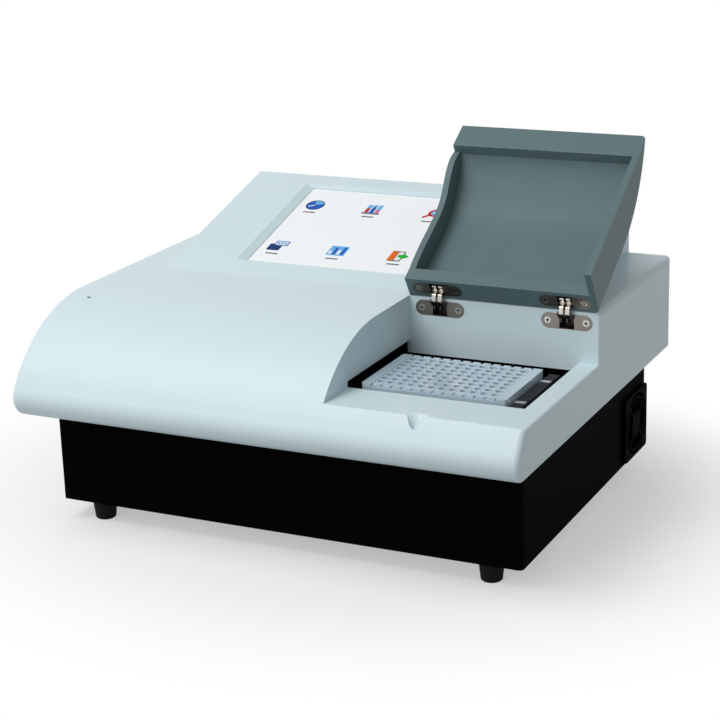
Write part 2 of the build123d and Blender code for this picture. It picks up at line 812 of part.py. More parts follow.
side_names = ["left", "right"]
wall_bars = (-5.5, 0.0, 5.5)
lid_bars = (-2.75, 2.75)
for side, x in zip(side_names, hinge_x):
    finish(hinge_leaf(x), f"wall_leaf_{side}")
    finish(swing(mirror(hinge_leaf(x), lid_mirror)), f"lid_leaf_{side}")
finish(hinge_links(wall_bars, 1.5).rotate(wall_pin_axis, -link_swing), "wall_links")
closed_links = mirror(hinge_links(lid_bars, 3.5), lid_mirror)
lid_pin_axis = Axis((0, 2 * hinge_y - wall_pin_axis.position.Y, wall_pin_axis.position.Z), (1, 0, 0))
finish(swing(closed_links.rotate(lid_pin_axis, link_swing)), "lid_links")

with BuildPart() as wall_pins:
    for x in hinge_x:
        add(hinge_pin(x))
finish(wall_pins.part, "wall_hinge_pins")
finish(swing(mirror(wall_pins.part, lid_mirror)), "lid_hinge_pins")


def screw_set(depth):
    """Countersunk screws of the wall leaves, with crossed slots."""
    with BuildPart() as screws:
        with Locations(*[(x, hinge_wall, leaf_z) for x in screw_xs]):
            Cone(
                hinge_screw_core,
                hinge_screw_radius - 0.05,
                leaf_plate,
                rotation=(90, 0, 0),
                align=top_aligned,
            )
            Cylinder(hinge_screw_core, depth, rotation=(90, 0, 0), align=top_aligned)
            Box(cross_length, 2 * cross_depth, cross_width, mode=Mode.SUBTRACT)
            Box(cross_width, 2 * cross_depth, cross_length, mode=Mode.SUBTRACT)
    return screws.part


finish(screw_set(leaf_depth - 2), "wall_hinge_screws")
finish(swing(mirror(screw_set(leaf_depth - 2), lid_mirror)), "lid_hinge_screws")

# ---- microplate ---------------------------------------------------------------------------------------
plate_left = plate_centre_x - plate_length / 2
plate_right = plate_centre_x + plate_length / 2
plate_front = plate_centre_y - plate_width / 2
plate_back = plate_centre_y + plate_width / 2
strip_length = 77.0
strip_field = strip_count * well_pitch
with BuildPart() as plate_frame:
    with BuildSketch(Plane.XY.offset(plate_seat)):
        with Locations((plate_centre_x, plate_centre_y)):
            RectangleRounded(plate_length, plate_width, 3.2)
    extrude(amount=2.5)
    with BuildSketch(Plane.XY.offset(plate_seat + 2.5)):
        with Locations((plate_centre_x, plate_centre_y)):
            RectangleRounded(plate_length - 2, plate_width - 2, 2.5)
    extrude(amount=plate_height - 2.5)
    block(
        (plate_centre_x - strip_field / 2 - 0.3, plate_centre_y - strip_length / 2 - 0.2, plate_seat),
        (plate_centre_x + strip_field / 2 + 0.3, plate_centre_y + strip_length / 2 + 0.2, plate_top),
        Mode.SUBTRACT,
    )
    # the front and back rims are lower along the strips, whose tabs lie over them
    block(
        (plate_centre_x - strip_field / 2 - 0.3, plate_front, plate_top - rim_drop),
        (plate_centre_x + strip_field / 2 + 0.3, plate_back, plate_top),
        Mode.SUBTRACT,
    )
    # ledges that carry the strips' ends
    for side in (-1, 1):
        y = plate_centre_y + side * (strip_length / 2 + 0.2)
        block(
            (plate_centre_x - strip_field / 2 - 0.3, min(y, y - side * 1.5), plate_top - 6),
            (plate_centre_x + strip_field / 2 + 0.3, max(y, y - side * 1.5), plate_top - 4),
        )
finish(plate_frame.part, "microplate_frame")

strip_top = plate_top - 0.2
wells_reach = strip_length / 2 - 2.2
strip_xs = [plate_centre_x + (k - (strip_count - 1) / 2) * well_pitch for k in range(strip_count)]
with BuildPart() as well_strips:
    for x in strip_xs:
        block(
            (x - strip_width / 2, plate_centre_y - strip_length / 2, plate_top - 4),
            (x + strip_width / 2, plate_centre_y + strip_length / 2, strip_top),
        )
        block(
            (x - strip_tab / 2, plate_front + 1.2, plate_top - rim_drop),
            (x + strip_tab / 2, plate_back - 1.2, strip_top),
        )
        block(
            (x - strip_width / 2 + 0.4, plate_centre_y - wells_reach, strip_top - well_depth - 1.2),
            (x + strip_width / 2 - 0.4, plate_centre_y + wells_reach, plate_top - 4),
        )
    for x in strip_xs:
        with Locations((x, plate_centre_y, strip_top)):
            with GridLocations(0, well_pitch, 1, wells_per_strip):
                Cylinder(well_radius, well_depth, align=top_aligned, mode=Mode.SUBTRACT)
finish(well_strips.part, "well_strips")

# ---- plate carrier on its two rods --------------------------------------------------------------------
carrier_left = plate_left - 5
carrier_right = plate_right + 11
carrier_front = plate_front - 5
carrier_back = plate_back + 5
rod_ys = [plate_centre_y - rod_offset, plate_centre_y + rod_offset]
bush_radius = rod_radius + running_gap + bush_wall
bearing_xs = [plate_centre_x - 46, plate_centre_x + 46]
bearing_length = bush_length + 2
belt_near = belt_axis_y - pulley_radius - belt_thickness
with BuildPart() as plate_carrier:
    block(
        (carrier_left, carrier_front, carrier_bottom),
        (carrier_right, carrier_back, plate_seat + carrier_rim),
    )
    block(
        (plate_right + pocket_gap + 1.5, carrier_front, plate_seat),
        (carrier_right, carrier_back, plate_seat + 9),
    )
    with BuildSketch(Plane.XY.offset(plate_seat)):
        with Locations((plate_centre_x, plate_centre_y)):
            RectangleRounded(plate_length + 2 * pocket_gap, plate_width + 2 * pocket_gap, 3.5)
    extrude(amount=12, mode=Mode.SUBTRACT)
    with BuildSketch(Plane.XY.offset(carrier_bottom)):
        with Locations((plate_centre_x, plate_centre_y)):
            RectangleRounded(plate_length - 2 * ledge, plate_width - 2 * ledge, 5)
    extrude(amount=carrier_base, mode=Mode.SUBTRACT)
    # finger cut-outs in the rim, front and back
    for y in (carrier_front, carrier_back - 5):
        block(
            (plate_centre_x - 14, y, plate_seat),
            (plate_centre_x + 14, y + 5, plate_seat + 12),
            Mode.SUBTRACT,
        )
    for y in rod_ys:
        for x in bearing_xs:
            block(
                (x - bearing_length / 2, y - block_half, rod_z - 6.2),
                (x + bearing_length / 2, y + block_half, carrier_bottom),
            )
    with Locations(*[(x, y, rod_z) for x in bearing_xs for y in rod_ys]):
        Cylinder(bush_radius, bearing_length + 2, rotation=(0, 90, 0), mode=Mode.SUBTRACT)
    # arm to the belt
    block(
        (plate_centre_x - 8, rod_ys[1] + block_half - 4, rod_z - 3),
        (plate_centre_x + 8, belt_near - 0.3, carrier_bottom),
    )
    block(
        (plate_centre_x - 8, rod_ys[1] - block_half, carrier_bottom - 1),
        (plate_centre_x + 8, rod_ys[1] + block_half, carrier_bottom),
    )
    # seats of the two plate clips
    with Locations(*[(plate_right + 5, plate_centre_y + dy, plate_seat + 9) for dy in (-28, 28)]):
        Box(12, 5.4, 2.4, mode=Mode.SUBTRACT)
finish(plate_carrier.part, "plate_carrier")

with BuildPart() as carrier_bushes:
    with Locations(*[(x, y, rod_z) for x in bearing_xs for y in rod_ys]):
        Cylinder(bush_radius, bush_length, rotation=(0, 90, 0))
        Cylinder(rod_radius + running_gap, bush_length, rotation=(0, 90, 0), mode=Mode.SUBTRACT)
finish(carrier_bushes.part, "carrier_bushes")

with BuildPart() as plate_clips:
    for dy in (-28, 28):
        with BuildSketch(Plane.XZ.offset(-plate_centre_y - dy - 2.5)):
            with BuildLine():
                Polyline(
                    (carrier_right - 1, plate_seat + 9.2),
                    (plate_right + 1.0, plate_seat + 9.2),
                    (plate_right + 0.3, plate_seat + 6.0),
                    (plate_right + 1.1, plate_seat + 5.8),
                    (plate_right + 1.8, plate_seat + 7.8),
                    (carrier_right - 1, plate_seat + 7.8),
                    close=True,
                )
            make_face()
        extrude(amount=5)
finish(plate_clips.part, "plate_clips")


# ---- optical bench, rods and belt drive ---------------------------------------------------------------
bench_left = lamp_left - 3
bench_right = 204.0
bench_front = plate_front - 30
bench_back = 40.0
post_spots = [(x, y) for x in (-195, 195) for y in (-125, 28)]
rod_left = plate_centre_x - 46 - carrier_travel - bearing_length / 2 - 12
rod_right = bench_right - 1
motor_hole = 12.0

with BuildPart() as optical_bench:
    with BuildSketch(Plane.XY.offset(bench_top - bench_thickness)):
        with Locations(((bench_left + bench_right) / 2, (bench_front + bench_back) / 2)):
            RectangleRounded(bench_right - bench_left, bench_back - bench_front, 6)
        with Locations((motor_x, belt_axis_y)):
            Circle(motor_hole, mode=Mode.SUBTRACT)
        with Locations((-60, 8)):
            SlotOverall(70, 18, mode=Mode.SUBTRACT)
        with Locations((60, 8)):
            SlotOverall(70, 18, mode=Mode.SUBTRACT)
    extrude(amount=bench_thickness)
finish(optical_bench.part, "optical_bench")

with BuildPart() as bench_posts:
    with Locations(*[(x, y, foot_height + tray_wall) for x, y in post_spots]):
        Cylinder(6, bench_top - bench_thickness - foot_height - tray_wall, align=standing)
finish(bench_posts.part, "bench_posts")

with BuildPart() as guide_rods:
    with BuildSketch(Plane.YZ.offset(rod_left)):
        for y in rod_ys:
            with Locations((y, rod_z)):
                Circle(rod_radius)
    extrude(amount=rod_right - rod_left)
    chamfer(guide_rods.edges().filter_by(GeomType.CIRCLE), 0.5)
finish(guide_rods.part, "guide_rods")

rod_block_width = 10.0
with BuildPart() as rod_supports:
    for x in (rod_left, rod_right - rod_block_width):
        with BuildSketch(Plane.YZ.offset(x)):
            for y in rod_ys:
                with Locations((y, bench_top)):
                    Rectangle(2 * block_half + 4, 6, align=(Align.CENTER, Align.MIN))
                    Rectangle(2 * block_half, rod_z - bench_top + 5.6, align=(Align.CENTER, Align.MIN))
            with Locations(((rod_ys[0] + rod_ys[1]) / 2, bench_top)):
                Rectangle(2 * rod_offset, 2, align=(Align.CENTER, Align.MIN))
            with Locations(*[(y, rod_z) for y in rod_ys]):
                Circle(rod_radius + 0.02, mode=Mode.SUBTRACT)
        extrude(amount=rod_block_width)
finish(rod_supports.part, "rod_supports")

belt_low = bench_top + 3
with BuildPart() as drive_belt:
    with BuildSketch(Plane.XY.offset(belt_low + (pulley_width - belt_width) / 2)):
        with Locations(((motor_x + idler_x) / 2, belt_axis_y)):
            SlotCenterToCenter(idler_x - motor_x, 2 * (pulley_radius + belt_thickness))
            SlotCenterToCenter(idler_x - motor_x, 2 * pulley_radius + 0.2, mode=Mode.SUBTRACT)
    extrude(amount=belt_width)
finish(drive_belt.part, "drive_belt")

shaft_radius = 2.5
for name, x in (("drive_pulley", motor_x), ("idler_pulley", idler_x)):
    with BuildPart() as pulley:
        with BuildSketch(Plane.XY.offset(belt_low)):
            with Locations((x, belt_axis_y)):
                Circle(pulley_radius)
                with PolarLocations(pulley_radius, 20):
                    Circle(0.5, mode=Mode.SUBTRACT)
        extrude(amount=pulley_width)
        with BuildSketch(Plane.XY.offset(belt_low - 1), Plane.XY.offset(belt_low + pulley_width)):
            with Locations((x, belt_axis_y)):
                Circle(pulley_radius + 2)
        extrude(amount=1)
        with Locations((x, belt_axis_y, belt_low - 1)):
            Cylinder(shaft_radius + running_gap, pulley_width + 2, align=standing, mode=Mode.SUBTRACT)
    finish(pulley.part, name)

with BuildPart() as belt_motor:
    with BuildSketch(Plane.XY.offset(bench_top - bench_thickness - motor_length)):
        with Locations((motor_x, belt_axis_y)):
            RectangleRounded(motor_size, motor_size, 4)
    extrude(amount=motor_length)
    with Locations((motor_x, belt_axis_y, bench_top - bench_thickness)):
        Cylinder(11, 2, align=standing)
        Cylinder(shaft_radius, bench_thickness + 3 + pulley_width + 2, align=standing)
finish(belt_motor.part, "belt_motor")

with BuildPart() as idler_pin:
    with Locations((idler_x, belt_axis_y, bench_top)):
        Cylinder(5, 1.7, align=standing)
        Cylinder(shaft_radius, 3 + pulley_width + 1.5, align=standing)
    with Locations((idler_x, belt_axis_y, bench_top + 3 + pulley_width + 1.5)):
        Cylinder(4, 1.2, align=standing)
finish(idler_pin.part, "idler_pin")

# ---- optics -------------------------------------------------------------------------------------------
row_ys = [plate_centre_y + (k - (wells_per_strip - 1) / 2) * well_pitch for k in range(wells_per_strip)]
column_back = rod_ys[0] - block_half - 1.5
column_front = column_back - 14
with BuildPart() as optics_head:
    # a column in front of the front rod, and an arm over the plate's path
    block((optic_x - 12, column_front, bench_top), (optic_x + 12, column_back, arm_bottom + arm_height))
    with BuildSketch(Plane.XY.offset(arm_bottom)):
        with BuildLine():
            Polyline(
                (optic_x - 12, column_front),
                (optic_x + 12, column_front),
                (optic_x + 8, plate_back - 4),
                (optic_x - 8, plate_back - 4),
                close=True,
            )
        make_face()
    extrude(amount=arm_height)
    with Locations(*[(optic_x, y, arm_bottom) for y in row_ys]):
        Cylinder(1.6, arm_height, align=standing, mode=Mode.SUBTRACT)
    with BuildSketch(Plane.YZ.offset(optic_x - 12)):
        with Locations((beam_y, beam_z)):
            Circle(guide_radius + running_gap)
    extrude(amount=12, mode=Mode.SUBTRACT)
finish(optics_head.part, "optics_head")

with BuildPart() as detector_block:
    block((optic_x - 9, row_ys[0] - 5.5, bench_top), (optic_x + 9, row_ys[-1] + 5.5, carrier_bottom - 1.8))
    with Locations(*[(optic_x, y, bench_top) for y in row_ys]):
        Cylinder(2.2, 20, align=standing, mode=Mode.SUBTRACT)
finish(detector_block.part, "detector_block")

with BuildPart() as detector_board:
    block(
        (optic_x - 22, row_ys[0] - 12, bench_top - bench_thickness - board_thickness),
        (optic_x + 22, row_ys[-1] + 12, bench_top - bench_thickness),
    )
    block(
        (optic_x - 16, row_ys[0], bench_top - bench_thickness - board_thickness - 4),
        (optic_x - 6, row_ys[-1], bench_top - bench_thickness - board_thickness),
    )
finish(detector_board.part, "detector_board")

lamp_y = (beam_y - 20, beam_y + 20)
lens_curve = 9.0
lamp_top = beam_z + 13
with BuildPart() as lamp_housing:
    block((lamp_left, lamp_y[0], bench_top), (lamp_right, lamp_y[1], lamp_top))
    for k in range(6):
        x = lamp_left + 5 + k * 8
        block((x, lamp_y[0], lamp_top - 6), (x + 4, lamp_y[1], lamp_top), Mode.SUBTRACT)
    with BuildSketch(Plane.YZ.offset(lamp_left + 4)):
        with Locations((beam_y, beam_z - 6)):
            Rectangle(28, 24)
    extrude(amount=lamp_right - lamp_left - 12, mode=Mode.SUBTRACT)
    with BuildSketch(Plane.YZ.offset(lamp_right)):
        with Locations((beam_y, beam_z)):
            Circle(5.05)
    extrude(amount=-10, mode=Mode.SUBTRACT)
finish(lamp_housing.part, "lamp_housing")

with BuildPart() as halogen_lamp:
    with BuildSketch(Plane.XZ.offset(-beam_y)):
        with BuildLine():
            Polyline(
                (lamp_left + 22, beam_z - 18),
                (lamp_left + 29, beam_z - 18),
                (lamp_left + 29, beam_z - 8),
                (lamp_left + 27, beam_z - 6),
                (lamp_left + 27, beam_z + 2),
                (lamp_left + 22, beam_z + 5),
                close=True,
            )
        make_face()
    revolve(axis=Axis((lamp_left + 22, beam_y, beam_z), (0, 0, 1)))
finish(halogen_lamp.part, "halogen_lamp")

with BuildPart() as condenser_lens:
    with BuildSketch(Plane.XY.offset(beam_z)):
        with BuildLine():
            lens_centre = (lamp_right - 1.3 - lens_curve, beam_y)
            bulge = CenterArc(lens_centre, lens_curve, 0, degrees(asin(5 / lens_curve)))
            Polyline(bulge @ 1, (lamp_right - 7, beam_y + 5), (lamp_right - 7, beam_y), bulge @ 0)
        make_face()
    revolve(axis=Axis((lamp_right, beam_y, beam_z), (1, 0, 0)))
finish(condenser_lens.part, "condenser_lens")

wheel_z = beam_z - filter_orbit
with BuildPart() as filter_wheel:
    with BuildSketch(Plane.YZ.offset(wheel_x)):
        with Locations((beam_y, wheel_z)):
            Circle(wheel_radius)
            Circle(shaft_radius + running_gap, mode=Mode.SUBTRACT)
            with PolarLocations(filter_orbit, filter_count, start_angle=90):
                Circle(filter_radius, mode=Mode.SUBTRACT)
    extrude(amount=wheel_thickness)
finish(filter_wheel.part, "filter_wheel")

with BuildPart() as filters:
    with BuildSketch(Plane.YZ.offset(wheel_x + 1)):
        with Locations((beam_y, wheel_z)):
            with PolarLocations(filter_orbit, filter_count, start_angle=90):
                Circle(filter_radius - 0.02)
    extrude(amount=wheel_thickness - 2)
finish(filters.part, "filters")

filter_motor_right = wheel_x - 4
with BuildPart() as filter_motor:
    block(
        (filter_motor_right - 22, beam_y - 13, wheel_z - 13),
        (filter_motor_right, beam_y + 13, wheel_z + 13),
    )
    with BuildSketch(Plane.YZ.offset(filter_motor_right)):
        with Locations((beam_y, wheel_z)):
            Circle(shaft_radius)
    extrude(amount=4 + wheel_thickness + 2)
finish(filter_motor.part, "filter_motor")

with BuildPart() as filter_bracket:
    block(
        (filter_motor_right - 26, beam_y - 16, bench_top),
        (filter_motor_right - 22, beam_y + 16, wheel_z + 13),
    )
    block(
        (filter_motor_right - 26, beam_y - 16, bench_top),
        (filter_motor_right, beam_y + 16, bench_top + 3),
    )
finish(filter_bracket.part, "filter_bracket")

guide_left = wheel_x + wheel_thickness + 2
with BuildPart() as light_guide:
    with BuildSketch(Plane.YZ.offset(guide_left)):
        with Locations((beam_y, beam_z)):
            Circle(guide_radius)
    extrude(amount=optic_x - 1 - guide_left)
finish(light_guide.part, "light_guide")

# ---- display ------------------------------------------------------------------------------------------
behind_window = recess_depth + window_lip
display_layers = [
    ("touch_panel", 0.0, glass_thickness, touch_margin),
    ("lcd_module", glass_thickness, lcd_thickness, lcd_margin),
]
for name, depth, thickness, margin in display_layers:
    with BuildPart() as layer:
        with BuildSketch(console_face.offset(-behind_window - depth)):
            with Locations((screen_x, screen_centre)):
                RectangleRounded(screen_width + 2 * margin, screen_height + 2 * margin, 1.5)
        extrude(amount=-thickness)
    finish(layer.part, name)

bracket_depth = behind_window + glass_thickness + lcd_thickness
with BuildPart() as display_bracket:
    with BuildSketch(console_face.offset(-bracket_depth)):
        with Locations((screen_x, screen_centre)):
            Rectangle(frame_width, frame_height)
            Rectangle(frame_width - 40, frame_height - 40, mode=Mode.SUBTRACT)
    extrude(amount=-bracket_thickness)
    with BuildSketch(console_face.offset(-bracket_depth)):
        with Locations((screen_x, screen_centre)):
            Rectangle(frame_width, frame_height)
            Rectangle(
                frame_width - 2 * bracket_thickness,
                frame_height - 2 * bracket_thickness,
                mode=Mode.SUBTRACT,
            )
    extrude(amount=bracket_depth - behind_window)
finish(display_bracket.part, "display_bracket")

with BuildPart() as display_board:
    with BuildSketch(console_face.offset(-bracket_depth)):
        with Locations((screen_x, screen_centre)):
            with GridLocations(140, 80, 2, 2):
                Circle(3)
    extrude(amount=-4 - bracket_thickness)
    with BuildSketch(console_face.offset(-bracket_depth - bracket_thickness - 4)):
        with Locations((screen_x, screen_centre)):
            Rectangle(150, 90)
    extrude(amount=-board_thickness)
finish(display_board.part, "display_board")

led_z = crown_height(led_y, 0)
with BuildPart() as power_led:
    with Locations((led_x, led_y, led_z + 0.4)):
        Cylinder(1.5, 8, align=top_aligned)
    with Locations((led_x, led_y, led_z - casing_wall - 1)):
        Cylinder(3, 2, align=top_aligned)
finish(power_led.part, "power_led")

# ---- electronics in the tray --------------------------------------------------------------------------
tray_floor = foot_height + tray_wall
board_low = tray_floor + board_standoff
board_left = -60.0
board_right = 150.0
board_front = -60.0
board_back = 70.0
with BuildPart() as main_board:
    block((board_left, board_front, board_low), (board_right, board_back, board_low + board_thickness))
    for x, y, width, depth, height in (
        (-20, 10, 26, 26, 2.4),
        (30, 20, 18, 18, 2.0),
        (80, -20, 40, 12, 9.0),
        (120, 30, 12, 40, 8.0),
        (0, -40, 50, 8, 10.0),
        (60, 50, 30, 8, 8.5),
    ):
        block(
            (x - width / 2, y - depth / 2, board_low + board_thickness),
            (x + width / 2, y + depth / 2, board_low + board_thickness + height),
        )
finish(main_board.part, "main_board")

with BuildPart() as board_standoffs:
    corners = [(x, y) for x in (board_left + 5, board_right - 5) for y in (board_front + 5, board_back - 5)]
    with Locations(*[(x, y, tray_floor) for x, y in corners]):
        Cylinder(3, board_standoff, align=standing)
finish(board_standoffs.part, "board_standoffs")

supply_left = -200.0
supply_right = -90.0
supply_front = 36.0
supply_back = 136.0
supply_height = 32.0
supply_wall = 2.0
with BuildPart() as power_supply:
    # a folded channel: floor and two side walls
    block((supply_left, supply_front, tray_floor), (supply_right, supply_back, tray_floor + supply_wall))
    for left in (supply_left, supply_right - supply_wall):
        block(
            (left, supply_front, tray_floor),
            (left + supply_wall, supply_back, tray_floor + supply_height),
        )
    # its board on two rails, with a transformer, a heat sink and a capacitor
    block(
        (supply_left + 2, supply_front + 2, tray_floor + 6),
        (supply_right - 2, supply_back - 2, tray_floor + 8),
    )
    for x in (supply_left + 5, supply_right - 5):
        block((x - 3, supply_front + 2, tray_floor + supply_wall), (x + 3, supply_back - 2, tray_floor + 6))
    block((-185, 50, tray_floor + 8), (-155, 85, tray_floor + 30))
    block((-135, 45, tray_floor + 8), (-115, 110, tray_floor + 26))
    with Locations((-170, 110, tray_floor + 8)):
        Cylinder(9, 20, align=standing)
finish(power_supply.part, "power_supply")
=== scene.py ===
import math

import bmesh
import bpy
from mathutils import Matrix, Vector


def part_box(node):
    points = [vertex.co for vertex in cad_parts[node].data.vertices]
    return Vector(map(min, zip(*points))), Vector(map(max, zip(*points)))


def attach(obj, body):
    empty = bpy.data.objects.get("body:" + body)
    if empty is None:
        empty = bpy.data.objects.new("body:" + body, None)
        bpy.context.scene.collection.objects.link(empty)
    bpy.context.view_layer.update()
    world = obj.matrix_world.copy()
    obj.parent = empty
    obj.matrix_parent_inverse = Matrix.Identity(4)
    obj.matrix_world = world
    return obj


bl_info = {
    "name": "Microplate reader looks",
    "version": (1, 0, 0),
    "blender": (4, 5, 0),
    "location": "View3D > Sidebar > Reader",
    "description": "Finishes, screen picture and studio for a bench-top microplate reader",
    "category": "Object",
}

MM = 0.001
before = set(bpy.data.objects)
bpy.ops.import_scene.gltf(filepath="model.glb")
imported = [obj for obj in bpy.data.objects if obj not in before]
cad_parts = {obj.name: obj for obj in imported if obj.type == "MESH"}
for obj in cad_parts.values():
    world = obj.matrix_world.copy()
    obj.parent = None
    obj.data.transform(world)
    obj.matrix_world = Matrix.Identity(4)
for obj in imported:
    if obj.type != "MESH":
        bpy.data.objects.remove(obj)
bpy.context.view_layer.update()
screen_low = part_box("touch_panel")[0]
plate_low, plate_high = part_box("microplate_frame")
strips_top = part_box("well_strips")[1].z

# how far the lid stands open, and how deep the painted shade in the wells reaches
LID_TURN = math.radians(149.0)
WELL_DEPTH = 10 * MM

# where the painted shade of a hinge recess begins and ends, behind its face
RECESS_START = 0.3 * MM
RECESS_END = 0.9 * MM

# the studio: what the lamps face, where they stand, their widths, and the floor's disc
LAMP_TARGET = (0.0, 0.0, 0.15)
KEY_PLACE = (-0.9, -1.0, 2.4)
KEY_SIZE = 1.6
FILL_PLACE = (-0.4, -2.4, 1.3)
FILL_SIZE = 1.2
FLOOR_RADIUS = 6.0

# the floor's white: its share beside the object, and the stretched distances between which it grows to 1
FLOOR_STRETCH = (2.6, 3.1, 0.0)
WHITE_NEAR = 0.45
WHITE_FROM = 0.62
WHITE_FULL = 1.25
WHITE_RAYS = ("Is Camera Ray", "Is Glossy Ray", "Is Transmission Ray")


# ---- shader maths -------------------------------------------------------------------------------------
class Wire:
    """A socket of numbers that takes part in sums: each operator adds the Math node it stands for."""

    def __init__(self, shader, socket):
        self.shader = shader
        self.socket = socket

    def math(self, operation, first, second):
        return self.shader.node("ShaderNodeMath", {"operation": operation}, {0: first, 1: second})

    def __add__(self, other):
        return self.math("ADD", self, other)

    __radd__ = __add__

    def __sub__(self, other):
        return self.math("SUBTRACT", self, other)

    def __rsub__(self, other):
        return self.math("SUBTRACT", other, self)

    def __mul__(self, other):
        return self.math("MULTIPLY", self, other)

    __rmul__ = __mul__

    def max(self, other):
        return self.math("MAXIMUM", self, other)

    def __lt__(self, other):
        return self.math("LESS_THAN", self, other)


class Shader:
    """The node tree of one material, with its Principled BSDF as the surface."""

    def __init__(self, name):
        self.material = bpy.data.materials.new(name)
        self.material.use_nodes = True
        self.tree = self.material.node_tree
        self.tree.nodes.clear()
        self.surface = self.tree.nodes.new("ShaderNodeBsdfPrincipled")
        output = self.tree.nodes.new("ShaderNodeOutputMaterial")
        self.tree.links.new(self.surface.outputs["BSDF"], output.inputs["Surface"])

    def node(self, kind, settings=None, sockets=None, output=0):
        """Adds a node, sets its settings and then its sockets, and gives one of its outputs."""
        made = self.tree.nodes.new(kind)
        for name, value in (settings or {}).items():
            setattr(made, name, value)
        for key, value in (sockets or {}).items():
            self.feed(made.inputs[key], value)
        return Wire(self, made.outputs[output])

    def feed(self, socket, value):
        """Links a wire to a socket, or sets the socket's own value."""
        if isinstance(value, Wire):
            self.tree.links.new(value.socket, socket)
        elif socket.type == "RGBA" and len(value) == 3:
            socket.default_value = (*value, 1.0)
        else:
            socket.default_value = value

    def place(self, stretch=(1.0, 1.0, 1.0)):
        """Where a point is on the object, in metres, stretched along each axis."""
        point = self.node("ShaderNodeTexCoord", output="Object")
        return self.node(
            "ShaderNodeVectorMath", {"operation": "MULTIPLY"}, {0: point, 1: stretch}
        )

    def along(self, axis):
        """One coordinate of the place, in metres."""
        return self.node("ShaderNodeSeparateXYZ", sockets={0: self.place()}, output=axis)

    def noise(self, scale, detail=2.0, stretch=(1.0, 1.0, 1.0)):
        return self.node(
            "ShaderNodeTexNoise", None, {"Vector": self.place(stretch), "Scale": scale, "Detail": detail}
        )

    def blend(self, factor, first, second):
        """Colour that goes from the first to the second as the factor goes from 0 to 1."""
        return self.node(
            "ShaderNodeMix", {"data_type": "RGBA"}, {0: factor, 6: first, 7: second}, output=2
        )

    def depth(self, face):
        """How far a point lies behind a face, given as the face's point and its outward direction."""
        point, out = face
        reach = self.node(
            "ShaderNodeVectorMath",
            {"operation": "DOT_PRODUCT"},
            {0: self.place(), 1: tuple(out)},
            output="Value",
        )
        return point.dot(out) - reach

    def ramp(self, value, low, high):
        """From 0 to 1, smoothly, as the value goes from low to high."""
        settings = {"clamp": True, "interpolation_type": "SMOOTHSTEP"}
        return self.node("ShaderNodeMapRange", settings, {0: value, 1: low, 2: high, 3: 0.0, 4: 1.0})

    def relief(self, height, strength, distance):
        """Bump on the surface, with its distance in metres."""
        bump = self.node(
            "ShaderNodeBump", None, {"Height": height, "Strength": strength, "Distance": distance}
        )
        self.feed(self.surface.inputs["Normal"], bump)

    def cover(self, factor, over):
        """Lays another shader over the surface, where the factor is 1."""
        base = Wire(self, self.surface.outputs["BSDF"])
        both = self.node("ShaderNodeMixShader", None, {0: factor, 1: base, 2: over})
        output = next(node for node in self.tree.nodes if node.type == "OUTPUT_MATERIAL")
        self.feed(output.inputs["Surface"], both)

    def finish(self, **sockets):
        """Feeds the surface: color=... goes to the socket Base Color, and so on as SURFACE_SOCKETS has it."""
        for name, value in sockets.items():
            self.feed(self.surface.inputs[SURFACE_SOCKETS[name]], value)
        return self.material


SURFACE_SOCKETS = {
    "color": "Base Color",
    "roughness": "Roughness",
    "metallic": "Metallic",
    "coat": "Coat Weight",
    "coat_roughness": "Coat Roughness",
    "emission": "Emission Color",
    "emission_strength": "Emission Strength",
    "transmission": "Transmission Weight",
    "ior": "IOR",
    "specular": "Specular IOR Level",
}


def scaled(colour, factor):
    return tuple(min(1.0, channel * factor) for channel in colour)


# ---- finishes -----------------------------------------------------------------------------------------
def sprayed_paint(name, colour, roughness):
    """Semi-gloss paint on a moulded casing, with faint orange peel and a slow drift in tone."""
    paint = Shader(name)
    cloud = paint.noise(9.0, 3.0)
    peel = paint.noise(420.0, 1.0)
    paint.relief(peel, 0.06, 0.0004)
    return paint.finish(
        color=paint.blend(cloud, scaled(colour, 0.97), scaled(colour, 1.02)),
        roughness=roughness + (cloud - 0.5) * 0.08,
        coat=0.05,
        coat_roughness=0.15,
        specular=0.35,
    )


def powder_coat(name, colour, roughness):
    """Powder coat on sheet steel: a fine, even grain."""
    coat = Shader(name)
    grain = coat.noise(1400.0, 2.0)
    wear = coat.noise(14.0, 4.0)
    coat.relief(grain, 0.25, 0.0003)
    return coat.finish(
        color=coat.blend(grain, scaled(colour, 0.8), scaled(colour, 1.3)),
        roughness=roughness + (wear - 0.5) * 0.12,
        specular=0.008,
    )


def moulded_plastic(name, colour, roughness, grain_scale=900.0):
    """Moulded plastic with a spark-eroded texture."""
    plastic = Shader(name)
    grain = plastic.noise(grain_scale, 2.0)
    cloud = plastic.noise(22.0, 3.0)
    plastic.relief(grain, 0.12, 0.0003)
    return plastic.finish(
        color=plastic.blend(cloud, scaled(colour, 0.94), scaled(colour, 1.06)),
        roughness=roughness + (grain - 0.5) * 0.1,
        specular=0.2,
    )


def brushed_metal(name, colour, roughness, stretch=(1.0, 1.0, 1.0)):
    """Metal with fine brush lines, drawn out along the axis whose stretch is smallest."""
    metal = Shader(name)
    lines = metal.noise(60.0, 3.0, stretch)
    cloud = metal.noise(45.0, 2.0)
    metal.relief(lines, 0.1, 0.0002)
    return metal.finish(
        color=metal.blend(cloud, scaled(colour, 0.88), scaled(colour, 1.08)),
        metallic=1.0,
        roughness=roughness + (lines - 0.5) * 0.16,
    )


def anodised(name, colour, roughness):
    """Dyed anodising over fly-cut aluminium."""
    metal = Shader(name)
    lines = metal.noise(30.0, 2.0, (1.0, 30.0, 30.0))
    metal.relief(lines, 0.06, 0.0002)
    return metal.finish(
        color=metal.blend(lines, scaled(colour, 0.8), scaled(colour, 1.2)),
        metallic=0.1,
        specular=0.2,
        roughness=roughness + (lines - 0.5) * 0.1,
    )


